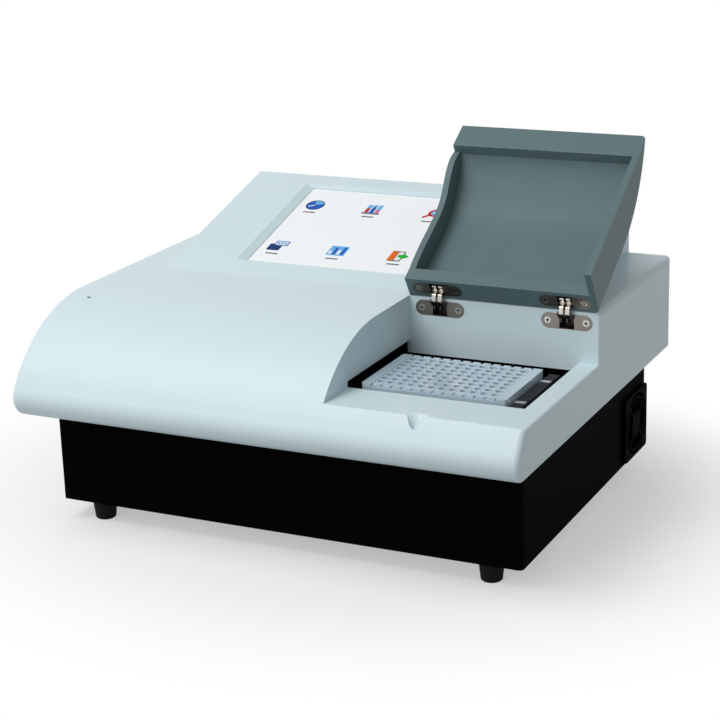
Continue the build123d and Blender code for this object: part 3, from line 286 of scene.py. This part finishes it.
def rubber(name, colour):
    """Moulded rubber, dull and slightly dusty."""
    soft = Shader(name)
    dust = soft.noise(160.0, 4.0)
    soft.relief(dust, 0.2, 0.0003)
    return soft.finish(
        color=soft.blend(dust, colour, scaled(colour, 1.8)), roughness=0.72 + dust * 0.12, specular=0.15
    )


def metal_with_painted_recess_shade(name, colour, roughness, face, painted_recess_shade):
    """Brushed metal whose recesses, behind its face, have painted shade: a dark colour, less metal and more
    roughness.
    """
    metal = Shader(name)
    lines = metal.noise(60.0, 3.0, (1.0, 25.0, 25.0))
    cloud = metal.noise(45.0, 2.0)
    # painted shade: the share of the dark recess colour, growing with depth behind the face
    recess_shade_share = metal.ramp(metal.depth(face), RECESS_START, RECESS_END)
    metal.relief(lines, 0.1, 0.0002)
    bright = metal.blend(cloud, scaled(colour, 0.88), scaled(colour, 1.08))
    return metal.finish(
        color=metal.blend(recess_shade_share, bright, painted_recess_shade),
        metallic=1.0 - recess_shade_share * 0.6,
        roughness=roughness + (lines - 0.5) * 0.16 + recess_shade_share * 0.2,
    )


def polystyrene_with_painted_depth_shade(name, top_colour, shaded_colour, low, high):
    """Clear polystyrene seen from above: pale at the top edges, with painted shade that deepens the tone down
    in the wells and towards the bottom.
    """
    clear = Shader(name)
    # painted shade: the colour goes from the shaded colour low down to the top colour at the top
    depth = clear.ramp(clear.along("Z"), low, high)
    cloud = clear.noise(60.0, 2.0)
    return clear.finish(
        color=clear.blend(depth, shaded_colour, top_colour),
        roughness=0.16 + cloud * 0.1,
        coat=0.5,
        coat_roughness=0.08,
    )


def clear_glass(name, colour, roughness):
    """Glass of lamps, lenses and filters, with a trace of haze."""
    glass = Shader(name)
    haze = glass.noise(120.0, 2.0)
    return glass.finish(color=colour, roughness=roughness + haze * 0.04, transmission=0.85, ior=1.5)


def circuit_board(name, colour):
    """Solder mask over copper tracks: the tracks show as a paler, raised network."""
    board = Shader(name)
    cells = board.node(
        "ShaderNodeTexVoronoi",
        {"feature": "DISTANCE_TO_EDGE", "distance": "EUCLIDEAN"},
        {"Vector": board.place(), "Scale": 240.0},
    )
    track = cells < 0.08
    board.relief(track, 0.3, 0.0001)
    return board.finish(
        color=board.blend(track, colour, scaled(colour, 1.8)), roughness=0.35 + track * 0.1
    )


def lit_screen(name, colour, glow):
    """The face of the touch screen: pale, evenly lit from behind, with a slight drift in tone."""
    screen = Shader(name)
    cloud = screen.noise(5.0, 1.0)
    tone = screen.blend(cloud, scaled(colour, 0.97), colour)
    return screen.finish(
        color=tone, roughness=0.28 + cloud * 0.04, emission=tone, emission_strength=glow, coat=0.3
    )


def flat_print(name, colour):
    """A colour shown on the screen."""
    ink = Shader(name)
    cloud = ink.noise(300.0, 1.0)
    tone = ink.blend(cloud, scaled(colour, 0.92), scaled(colour, 1.08))
    return ink.finish(color=tone, roughness=0.4 + cloud * 0.05, specular=0.05)


# ---- settings -----------------------------------------------------------------------------------------
def colour_setting(name, description, default):
    return bpy.props.FloatVectorProperty(
        name=name, description=description, default=default, size=3, min=0.0, max=1.0, subtype="COLOR"
    )


def share_setting(name, description, default):
    return bpy.props.FloatProperty(
        name=name, description=description, default=default, min=0.0, max=1.0, subtype="FACTOR"
    )


def length_setting(name, description, default):
    return bpy.props.FloatProperty(
        name=name, description=description, default=default, unit="LENGTH", subtype="DISTANCE"
    )


def angle_setting(name, description, default):
    return bpy.props.FloatProperty(
        name=name, description=description, default=default, unit="ROTATION", subtype="ANGLE"
    )


class ReaderFinishes(bpy.types.PropertyGroup):
    """Colours and gloss of the reader's surfaces."""

    casing: colour_setting("Casing", "Paint of the upper casing", (0.66, 0.79, 0.825))
    casing_roughness: share_setting("Casing roughness", "Roughness of the casing's paint", 0.42)
    tray: colour_setting("Base tray", "Powder coat of the base tray", (0.0015, 0.0015, 0.0018))
    lid: colour_setting("Lid", "Moulded plastic of the lid", (0.116, 0.176, 0.182))
    nickel: colour_setting("Hinge nickel", "Satin nickel of the hinge leaves", (0.29, 0.25, 0.215))
    screw: colour_setting("Hinge screws", "Nickel of the hinge screws", (0.72, 0.69, 0.64))
    # the links are one metal: the wall links carry painted shade, the lid links painted light
    shaded_links: colour_setting("Lower links", "Painted shade on the links in the wall leaves", (0.07, 0.058, 0.05))
    lit_links: colour_setting("Upper links", "Painted light on the links in the lid leaves", (0.50, 0.47, 0.43))
    plate: colour_setting("Microplate", "Top edges of the plate and its strips", (0.57, 0.69, 0.78))
    # the wells colour is the painted shade at the bottom of the wells
    wells: colour_setting("Wells", "Tone down in the wells", (0.60, 0.70, 0.80))
    screen: colour_setting("Screen", "Background shown on the screen", (0.84, 0.86, 0.87))
    screen_glow: share_setting("Screen glow", "Strength of the screen's own light", 0.12)


class ReaderPicture(bpy.types.PropertyGroup):
    """Layout of the icons that the screen shows."""

    column_step: length_setting("Column step", "Distance between two icons in a row", 61 * MM)
    first_column: length_setting("First column", "From the screen's left edge to the first icon", 19.6 * MM)
    upper_row: length_setting("Upper row", "From the screen's lower edge to the upper icons", 117 * MM)
    lower_row: length_setting("Lower row", "From the screen's lower edge to the lower icons", 37 * MM)
    icon_size: length_setting("Icon size", "Width and height of an icon", 19.5 * MM)
    relief: length_setting("Relief", "Height of the picture over the screen's face", 0.15 * MM)


class ReaderStudio(bpy.types.PropertyGroup):
    """Camera, lamps and floor."""

    camera_place: bpy.props.FloatVectorProperty(
        name="Camera place",
        description="Where the camera stands",
        default=(0.72303, -1.45471, 0.63830),
        size=3,
        subtype="TRANSLATION",
        unit="LENGTH",
    )
    camera_turn: angle_setting("Camera turn", "Turn of the view to the left of the Y axis", 0.457491)
    camera_tilt: angle_setting("Camera tilt", "Tilt of the view above the horizon", -0.305893)
    camera_roll: angle_setting("Camera roll", "Roll of the camera about its view", -0.032166)
    focal_length: bpy.props.FloatProperty(
        name="Focal length",
        description="Focal length on a sensor 36 mm wide",
        default=96.645,
        unit="CAMERA",
    )
    key_power: bpy.props.FloatProperty(
        name="Key lamp", description="Power of the large lamp over the front left", default=38.0, unit="POWER"
    )
    fill_power: bpy.props.FloatProperty(
        name="Fill lamp", description="Power of the lamp beside the camera", default=14.0, unit="POWER"
    )
    sky_strength: share_setting("Sky strength", "Light from all round", 0.31)
    floor: colour_setting("Floor", "Colour of the floor", (0.93, 0.935, 0.94))


# ---- dressing of the solids ---------------------------------------------------------------------------
def dress(nodes, material):
    """Gives the solids one finish, in all their material slots."""
    for name in nodes:
        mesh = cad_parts[name].data
        mesh.materials.clear()
        mesh.materials.append(material)


def foremost(name, out):
    """The face of a solid that lies foremost in a direction: a point on it, and the direction."""
    points = (vertex.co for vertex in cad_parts[name].data.vertices)
    return max(points, key=lambda p: p.dot(out)).copy(), out


class READER_OT_casing(bpy.types.Operator):
    """Paint of the casing, coat of the base tray and rubber of the feet"""

    bl_idname = "reader.dress_casing"
    bl_label = "Casing and base"

    def execute(self, context):
        look = context.scene.reader_finishes
        dress(["upper_casing"], sprayed_paint("casing_paint", look.casing, look.casing_roughness))
        dress(["base_tray", "rear_panel"], powder_coat("tray_coat", look.tray, 0.7))
        dress(["feet"], rubber("foot_rubber", (0.003, 0.003, 0.003)))
        dress(["foot_screws", "casing_screws"], brushed_metal("zinc", (0.56, 0.56, 0.57), 0.4))
        dress(["power_led"], moulded_plastic("indicator_lens", (0.10, 0.20, 0.11), 0.2))
        return {"FINISHED"}


class READER_OT_lid(bpy.types.Operator):
    """Moulded plastic of the lid and the metal of its hinges"""

    bl_idname = "reader.dress_lid"
    bl_label = "Lid and hinges"

    def execute(self, context):
        look = context.scene.reader_finishes
        dress(["lid_shell"], moulded_plastic("lid_plastic", look.lid, 0.46))
        towards_lid = Vector((0.0, math.cos(LID_TURN), -math.sin(LID_TURN)))
        for body, out in (("wall", Vector((0.0, -1.0, 0.0))), ("lid", towards_lid)):
            face = foremost(body + "_leaf_left", out)
            # the recess colours passed here are painted shade, near black
            leaf = metal_with_painted_recess_shade(body + "_leaf_nickel", look.nickel, 0.34, face, (0.02, 0.018, 0.016))
            screw = metal_with_painted_recess_shade(body + "_screw_nickel", look.screw, 0.26, face, (0.03, 0.027, 0.024))
            dress([body + "_leaf_left", body + "_leaf_right"], leaf)
            dress([body + "_hinge_screws"], screw)
        pins = ["wall_hinge_pins", "lid_hinge_pins"]
        dress(pins, brushed_metal("pin_steel", (0.3, 0.29, 0.28), 0.3))
        # painted shade on the wall links and painted light on the lid links, from one metal
        dress(["wall_links"], brushed_metal("shaded_links", look.shaded_links, 0.42))
        dress(["lid_links"], brushed_metal("lit_links", look.lit_links, 0.3))
        return {"FINISHED"}


class READER_OT_plate(bpy.types.Operator):
    """Polystyrene of the microplate, and the carrier that it lies on"""

    bl_idname = "reader.dress_plate"
    bl_label = "Microplate and carrier"

    def execute(self, context):
        look = context.scene.reader_finishes
        # shade is the painted shade at the foot of the frame
        shade = scaled(look.plate, 0.8)
        rim = polystyrene_with_painted_depth_shade("plate_frame_plastic", look.plate, shade, plate_low.z, plate_high.z)
        dress(["microplate_frame"], rim)
        wells_low = strips_top - WELL_DEPTH
        wells = polystyrene_with_painted_depth_shade("well_strip_plastic", look.plate, look.wells, wells_low, strips_top)
        dress(["well_strips"], wells)
        dress(["plate_carrier"], anodised("carrier_black", (0.004, 0.004, 0.005), 0.5))
        dress(["plate_clips"], brushed_metal("clip_steel", (0.72, 0.72, 0.70), 0.3, (20.0, 1.0, 20.0)))
        dress(["carrier_bushes"], brushed_metal("bush_bronze", (0.55, 0.36, 0.16), 0.45))
        dress(["guide_rods"], brushed_metal("ground_steel", (0.66, 0.67, 0.68), 0.18, (1.0, 12.0, 12.0)))
        return {"FINISHED"}


class READER_OT_optics(bpy.types.Operator):
    """The bench with its optics, and the belt drive"""

    bl_idname = "reader.dress_optics"
    bl_label = "Optics and drive"

    def execute(self, context):
        black = ["optical_bench", "optics_head", "detector_block", "lamp_housing"]
        black += ["filter_wheel", "filter_bracket"]
        dress(black, anodised("bench_black", (0.02, 0.02, 0.022), 0.5))
        turned = ["rod_supports", "drive_pulley", "idler_pulley"]
        dress(turned, brushed_metal("machined_aluminium", (0.66, 0.67, 0.68), 0.35))
        dress(["bench_posts", "idler_pin"], brushed_metal("post_steel", (0.60, 0.60, 0.60), 0.3))
        dress(["belt_motor", "filter_motor"], powder_coat("motor_black", (0.03, 0.03, 0.033), 0.45))
        dress(["drive_belt", "light_guide"], rubber("belt_rubber", (0.018, 0.018, 0.018)))
        dress(["halogen_lamp", "condenser_lens"], clear_glass("lamp_glass", (0.95, 0.97, 1.0), 0.02))
        dress(["filters"], clear_glass("filter_glass", (0.35, 0.42, 0.78), 0.03))
        return {"FINISHED"}


class READER_OT_electronics(bpy.types.Operator):
    """Boards, power supply, fan and the sockets of the rear panel"""

    bl_idname = "reader.dress_electronics"
    bl_label = "Electronics"

    def execute(self, context):
        boards = ["detector_board", "display_board", "main_board"]
        dress(boards, circuit_board("board_green", (0.02, 0.13, 0.05)))
        boxes = ["power_supply", "display_bracket", "lcd_module"]
        dress(boxes, brushed_metal("galvanised_sheet", (0.62, 0.63, 0.64), 0.42))
        dress(["serial_port", "board_standoffs"], brushed_metal("plated_steel", (0.6, 0.6, 0.6), 0.3))
        sockets = ["power_inlet", "power_switch_body", "power_switch_rocker", "usb_ports"]
        dress(sockets, moulded_plastic("socket_plastic", (0.016, 0.016, 0.017), 0.38))
        dress(["fan_frame", "fan_rotor"], moulded_plastic("fan_plastic", (0.003, 0.003, 0.003), 0.55))
        dress(["fan_guard", "fan_screws"], powder_coat("guard_coat", (0.002, 0.002, 0.002), 0.7))
        return {"FINISHED"}


# ---- picture on the screen ----------------------------------------------------------------------------
def arc(centre, radius, start=0.0, end=360.0, steps=28):
    """Points of an arc about a centre, its angles in degrees."""
    turns = [math.radians(start + (end - start) * k / steps) for k in range(steps + (end - start < 360))]
    return [(centre[0] + radius * math.cos(t), centre[1] + radius * math.sin(t)) for t in turns]


def sheet(left, low, right, high, corner=0.06):
    """Points of a rectangle with rounded corners."""
    points = []
    for x, y, start in (
        (right - corner, high - corner, 0),
        (left + corner, high - corner, 90),
        (left + corner, low + corner, 180),
        (right - corner, low + corner, 270),
    ):
        points += arc((x, y), corner, start, start + 90, 4)
    return points


def turned(points, angle, centre=(0.0, 0.0)):
    """The same outline, turned about a point by an angle in degrees."""
    c, s = math.cos(math.radians(angle)), math.sin(math.radians(angle))
    swung = []
    for x, y in points:
        dx, dy = x - centre[0], y - centre[1]
        swung.append((centre[0] + dx * c - dy * s, centre[1] + dx * s + dy * c))
    return swung


# each icon is a list of (ink, layer, outline), within a square from -0.5 to 0.5
def results_icon():
    slice_points = [(0.0, 0.0)] + arc((0.0, 0.0), 0.42, 20, 110, 10)
    return [
        ("navy", 0, arc((0, 0), 0.48)),
        ("blue", 1, arc((0, 0), 0.42)),
        ("sky", 2, slice_points),
        ("white", 2, turned(sheet(-0.36, -0.04, -0.02, 0.04, 0.02), 30)),
    ]


def samples_icon():
    shapes = [("grey", 0, sheet(-0.46, -0.46, 0.46, -0.30, 0.04))]
    for x, ink, level in ((-0.27, "red", 0.10), (0.0, "blue", 0.24), (0.27, "pink", -0.02)):
        shapes.append(("sky", 1, sheet(x - 0.11, -0.40, x + 0.11, 0.46, 0.1)))
        shapes.append((ink, 2, sheet(x - 0.09, -0.38, x + 0.09, level, 0.08)))
    return shapes


def search_icon():
    return [
        ("red", 0, arc((0.08, 0.12), 0.36)),
        ("sky", 1, arc((0.08, 0.12), 0.22)),
        ("red", 0, turned(sheet(-0.62, 0.04, -0.16, 0.20, 0.05), 45, (0.08, 0.12))),
        ("white", 2, sheet(-0.04, 0.08, 0.20, 0.16, 0.03)),
    ]


def settings_icon():
    teeth = [("grey", 0, turned(sheet(0.30, -0.07, 0.48, 0.07, 0.03), k * 45)) for k in range(8)]
    return teeth + [("grey", 0, arc((0, 0), 0.36)), ("white", 1, arc((0, 0), 0.15))]


def layout_icon():
    shapes = [
        ("navy", 0, sheet(-0.46, -0.44, 0.20, 0.16)),
        ("blue", 0, sheet(-0.26, 0.0, 0.46, 0.46)),
        ("white", 1, sheet(-0.20, 0.06, 0.40, 0.40, 0.03)),
    ]
    for k in range(3):
        shapes.append(("sky", 2, sheet(-0.14 + 0.18 * k, 0.12, -0.02 + 0.18 * k, 0.34, 0.02)))
    return shapes


def chart_icon():
    shapes = [("sky", 0, sheet(-0.46, -0.42, 0.46, 0.44))]
    for k, top in enumerate((-0.02, 0.28, 0.10, 0.34)):
        x = -0.32 + 0.21 * k
        shapes.append(("blue" if k % 2 else "white", 1, sheet(x - 0.07, -0.32, x + 0.07, top, 0.02)))
    return shapes


def leave_icon():
    shaft = [(0.14, 0.14), (-0.05, 0.14), (-0.05, -0.10), (0.14, -0.10)]
    arrow = shaft + [(0.14, -0.26), (0.48, 0.02), (0.14, 0.30)]
    return [
        ("grey", 0, sheet(-0.46, -0.46, 0.20, 0.46)),
        ("white", 1, sheet(-0.12, -0.38, 0.14, 0.38, 0.03)),
        ("orange", 2, [(-0.46, -0.46), (-0.14, -0.34), (-0.14, 0.34), (-0.46, 0.46)]),
        ("green", 2, arrow),
    ]


def clock_icon():
    return [
        ("navy", 0, arc((0, 0), 0.46)),
        ("white", 1, arc((0, 0), 0.36)),
        ("grey", 2, sheet(-0.03, -0.02, 0.03, 0.30, 0.02)),
        ("grey", 2, sheet(-0.02, -0.03, 0.22, 0.03, 0.02)),
    ]


INKS = {
    "blue": (0.01, 0.10, 0.50),
    "navy": (0.005, 0.04, 0.16),
    "sky": (0.16, 0.46, 0.82),
    "red": (0.62, 0.02, 0.015),
    "pink": (0.78, 0.16, 0.34),
    "orange": (0.82, 0.16, 0.01),
    "green": (0.01, 0.42, 0.03),
    "white": (0.86, 0.90, 0.94),
    "grey": (0.12, 0.13, 0.15),
}
CAPTION = sheet(-0.32, -0.78, 0.32, -0.68, 0.03)
ICON_ROWS = (
    (results_icon, samples_icon, search_icon, settings_icon),
    (layout_icon, chart_icon, leave_icon, clock_icon),
)


def screen_plane():
    """Corner and directions of the screen's face, from its solid: right, up the slope, and out."""
    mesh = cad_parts["touch_panel"].data
    face = max((p for p in mesh.polygons if p.normal.z > 0.5), key=lambda p: p.area)
    out = face.normal.normalized()
    right = Vector((1.0, 0.0, 0.0))
    up = out.cross(right)
    corner = min((mesh.vertices[v].co for v in face.vertices), key=lambda p: p.y)
    return Vector((screen_low.x, corner.y, corner.z)), right, up, out


def add_prism(mesh, outline, to_world, low, high, ink):
    """A thin flat shape, from a level to another, in one ink."""
    rings = [[mesh.verts.new(to_world @ Vector((x, y, z))) for x, y in outline] for z in (low, high)]
    faces = [mesh.faces.new(rings[1])]
    count = len(outline)
    for k in range(count):
        j = (k + 1) % count
        faces.append(mesh.faces.new((rings[0][k], rings[0][j], rings[1][j], rings[1][k])))
    for face in faces:
        face.material_index = ink


class READER_OT_screen(bpy.types.Operator):
    """The lit touch screen and the icons that it shows"""

    bl_idname = "reader.add_screen"
    bl_label = "Screen picture"

    def execute(self, context):
        look = context.scene.reader_finishes
        picture = context.scene.reader_picture
        dress(["touch_panel"], lit_screen("screen_face", look.screen, look.screen_glow))
        corner, right, up, out = screen_plane()
        axes = Matrix((right, up, out)).transposed().to_4x4()
        mesh = bmesh.new()
        inks = list(INKS)
        layer = picture.relief / 3
        for row, height in zip(ICON_ROWS, (picture.upper_row, picture.lower_row)):
            for column, icon in enumerate(row):
                across = picture.first_column + column * picture.column_step
                to_world = Matrix.Translation(corner + right * across + up * height) @ axes
                for ink, level, outline in icon() + [("grey", 0, CAPTION)]:
                    points = [(x * picture.icon_size, y * picture.icon_size) for x, y in outline]
                    add_prism(mesh, points, to_world, 0.0, (level + 1) * layer, inks.index(ink))
        bmesh.ops.recalc_face_normals(mesh, faces=mesh.faces)
        data = bpy.data.meshes.new("screen_icons")
        mesh.to_mesh(data)
        mesh.free()
        for name, colour in INKS.items():
            data.materials.append(flat_print("ink_" + name, colour))
        icons = bpy.data.objects.new("screen_icons", data)
        context.scene.collection.objects.link(icons)
        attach(icons, "chassis")
        return {"FINISHED"}


# ---- studio -------------------------------------------------------------------------------------------
def studio_camera(studio):
    """A camera at its place, turned by its turn, tilt and roll."""
    turn, tilt, roll = studio.camera_turn, studio.camera_tilt, studio.camera_roll
    ahead = Vector(
        (-math.sin(turn) * math.cos(tilt), math.cos(turn) * math.cos(tilt), math.sin(tilt))
    )
    level_right = Vector((math.cos(turn), math.sin(turn), 0.0))
    level_up = level_right.cross(ahead)
    right = level_right * math.cos(roll) + level_up * math.sin(roll)
    up = level_up * math.cos(roll) - level_right * math.sin(roll)
    lens = bpy.data.cameras.new("camera")
    lens.lens = studio.focal_length
    lens.sensor_width = 36.0
    camera = bpy.data.objects.new("camera", lens)
    place = Matrix.Translation(Vector(studio.camera_place))
    camera.matrix_world = place @ Matrix((right, up, -ahead)).transposed().to_4x4()
    return camera


def soft_lamp(name, place, target, size, power):
    """A square soft box that faces a point."""
    light = bpy.data.lights.new(name, "AREA")
    light.shape = "SQUARE"
    light.size = size
    light.energy = power
    lamp = bpy.data.objects.new(name, light)
    lamp.location = place
    lamp.rotation_mode = "QUATERNION"
    lamp.rotation_quaternion = (Vector(target) - Vector(place)).to_track_quat("-Z", "Y")
    return lamp


def pale_floor(colour):
    """Floor finish: matt, darker as it lights the object, and white beyond the object's own shadow."""
    ground = Shader("studio_floor")
    path = {name: ground.node("ShaderNodeLightPath", output=name) for name in WHITE_RAYS}
    shown = path["Is Camera Ray"].max(path["Is Glossy Ray"]).max(path["Is Transmission Ray"])
    spot = ground.place(FLOOR_STRETCH)
    away = ground.node("ShaderNodeVectorMath", {"operation": "LENGTH"}, {0: spot}, output="Value")
    cloud = ground.noise(3.0, 2.0)
    ground.finish(
        color=ground.blend(shown, scaled(colour, 0.5), ground.blend(cloud, scaled(colour, 0.995), colour)),
        roughness=0.85,
        specular=0.1,
    )
    white = ground.node("ShaderNodeEmission", None, {"Color": (1.0, 1.0, 1.0), "Strength": 1.0})
    share = WHITE_NEAR + ground.ramp(away, WHITE_FROM, WHITE_FULL) * (1.0 - WHITE_NEAR)
    ground.cover(shown * share, white)
    return ground.material


def sky(strength):
    """World that lights evenly and shows white to the camera, to gloss and through glass."""
    world = bpy.data.worlds.new("studio_sky")
    world.use_nodes = True
    tree = world.node_tree
    tree.nodes.clear()
    path = tree.nodes.new("ShaderNodeLightPath")
    lit = tree.nodes.new("ShaderNodeBackground")
    seen = tree.nodes.new("ShaderNodeBackground")
    choose = tree.nodes.new("ShaderNodeMixShader")
    output = tree.nodes.new("ShaderNodeOutputWorld")
    lit.inputs["Color"].default_value = (0.93, 0.97, 1.0, 1.0)
    lit.inputs["Strength"].default_value = strength
    seen.inputs["Color"].default_value = (1.0, 1.0, 1.0, 1.0)
    shown = path.outputs[WHITE_RAYS[0]]
    for name in WHITE_RAYS[1:]:
        either = tree.nodes.new("ShaderNodeMath")
        either.operation = "MAXIMUM"
        tree.links.new(shown, either.inputs[0])
        tree.links.new(path.outputs[name], either.inputs[1])
        shown = either.outputs[0]
    tree.links.new(shown, choose.inputs["Fac"])
    tree.links.new(lit.outputs["Background"], choose.inputs[1])
    tree.links.new(seen.outputs["Background"], choose.inputs[2])
    tree.links.new(choose.outputs["Shader"], output.inputs["Surface"])
    return world


class READER_OT_stage(bpy.types.Operator):
    """Floor, lamps, sky and camera"""

    bl_idname = "reader.add_stage"
    bl_label = "Studio"

    def execute(self, context):
        scene = context.scene
        studio = scene.reader_studio
        mesh = bmesh.new()
        bmesh.ops.create_circle(mesh, cap_ends=True, segments=96, radius=FLOOR_RADIUS)
        data = bpy.data.meshes.new("studio_floor")
        mesh.to_mesh(data)
        mesh.free()
        data.materials.append(pale_floor(studio.floor))
        ground = bpy.data.objects.new("studio_floor", data)
        scene.collection.objects.link(ground)
        key = soft_lamp("key_lamp", KEY_PLACE, LAMP_TARGET, KEY_SIZE, studio.key_power)
        fill = soft_lamp("fill_lamp", FILL_PLACE, LAMP_TARGET, FILL_SIZE, studio.fill_power)
        camera = studio_camera(studio)
        for thing in (key, fill, camera):
            scene.collection.objects.link(thing)
        scene.camera = camera
        scene.world = sky(studio.sky_strength)
        scene.view_settings.view_transform = "Standard"
        return {"FINISHED"}


class READER_PT_panel(bpy.types.Panel):
    """The reader's pieces and settings, in the sidebar"""

    bl_label = "Reader"
    bl_idname = "READER_PT_panel"
    bl_space_type = "VIEW_3D"
    bl_region_type = "UI"
    bl_category = "Reader"

    def draw(self, context):
        for operator in OPERATORS:
            self.layout.operator(operator.bl_idname)
        for name in SETTINGS:
            group = getattr(context.scene, name)
            column = self.layout.column()
            for key in group.__annotations__:
                column.prop(group, key)


SETTINGS = {
    "reader_finishes": ReaderFinishes,
    "reader_picture": ReaderPicture,
    "reader_studio": ReaderStudio,
}
OPERATORS = (
    READER_OT_casing,
    READER_OT_lid,
    READER_OT_plate,
    READER_OT_optics,
    READER_OT_electronics,
    READER_OT_screen,
    READER_OT_stage,
)


def register():
    for name, group in SETTINGS.items():
        bpy.utils.register_class(group)
        setattr(bpy.types.Scene, name, bpy.props.PointerProperty(type=group))
    for operator in OPERATORS:
        bpy.utils.register_class(operator)
    bpy.utils.register_class(READER_PT_panel)


def unregister():
    bpy.utils.unregister_class(READER_PT_panel)
    for operator in reversed(OPERATORS):
        bpy.utils.unregister_class(operator)
    for name, group in SETTINGS.items():
        delattr(bpy.types.Scene, name)
        bpy.utils.unregister_class(group)


def main():
    register()
    bpy.ops.reader.dress_casing()
    bpy.ops.reader.dress_lid()
    bpy.ops.reader.dress_plate()
    bpy.ops.reader.dress_optics()
    bpy.ops.reader.dress_electronics()
    bpy.ops.reader.add_screen()
    bpy.ops.reader.add_stage()


if __name__ == "__main__":
    main()
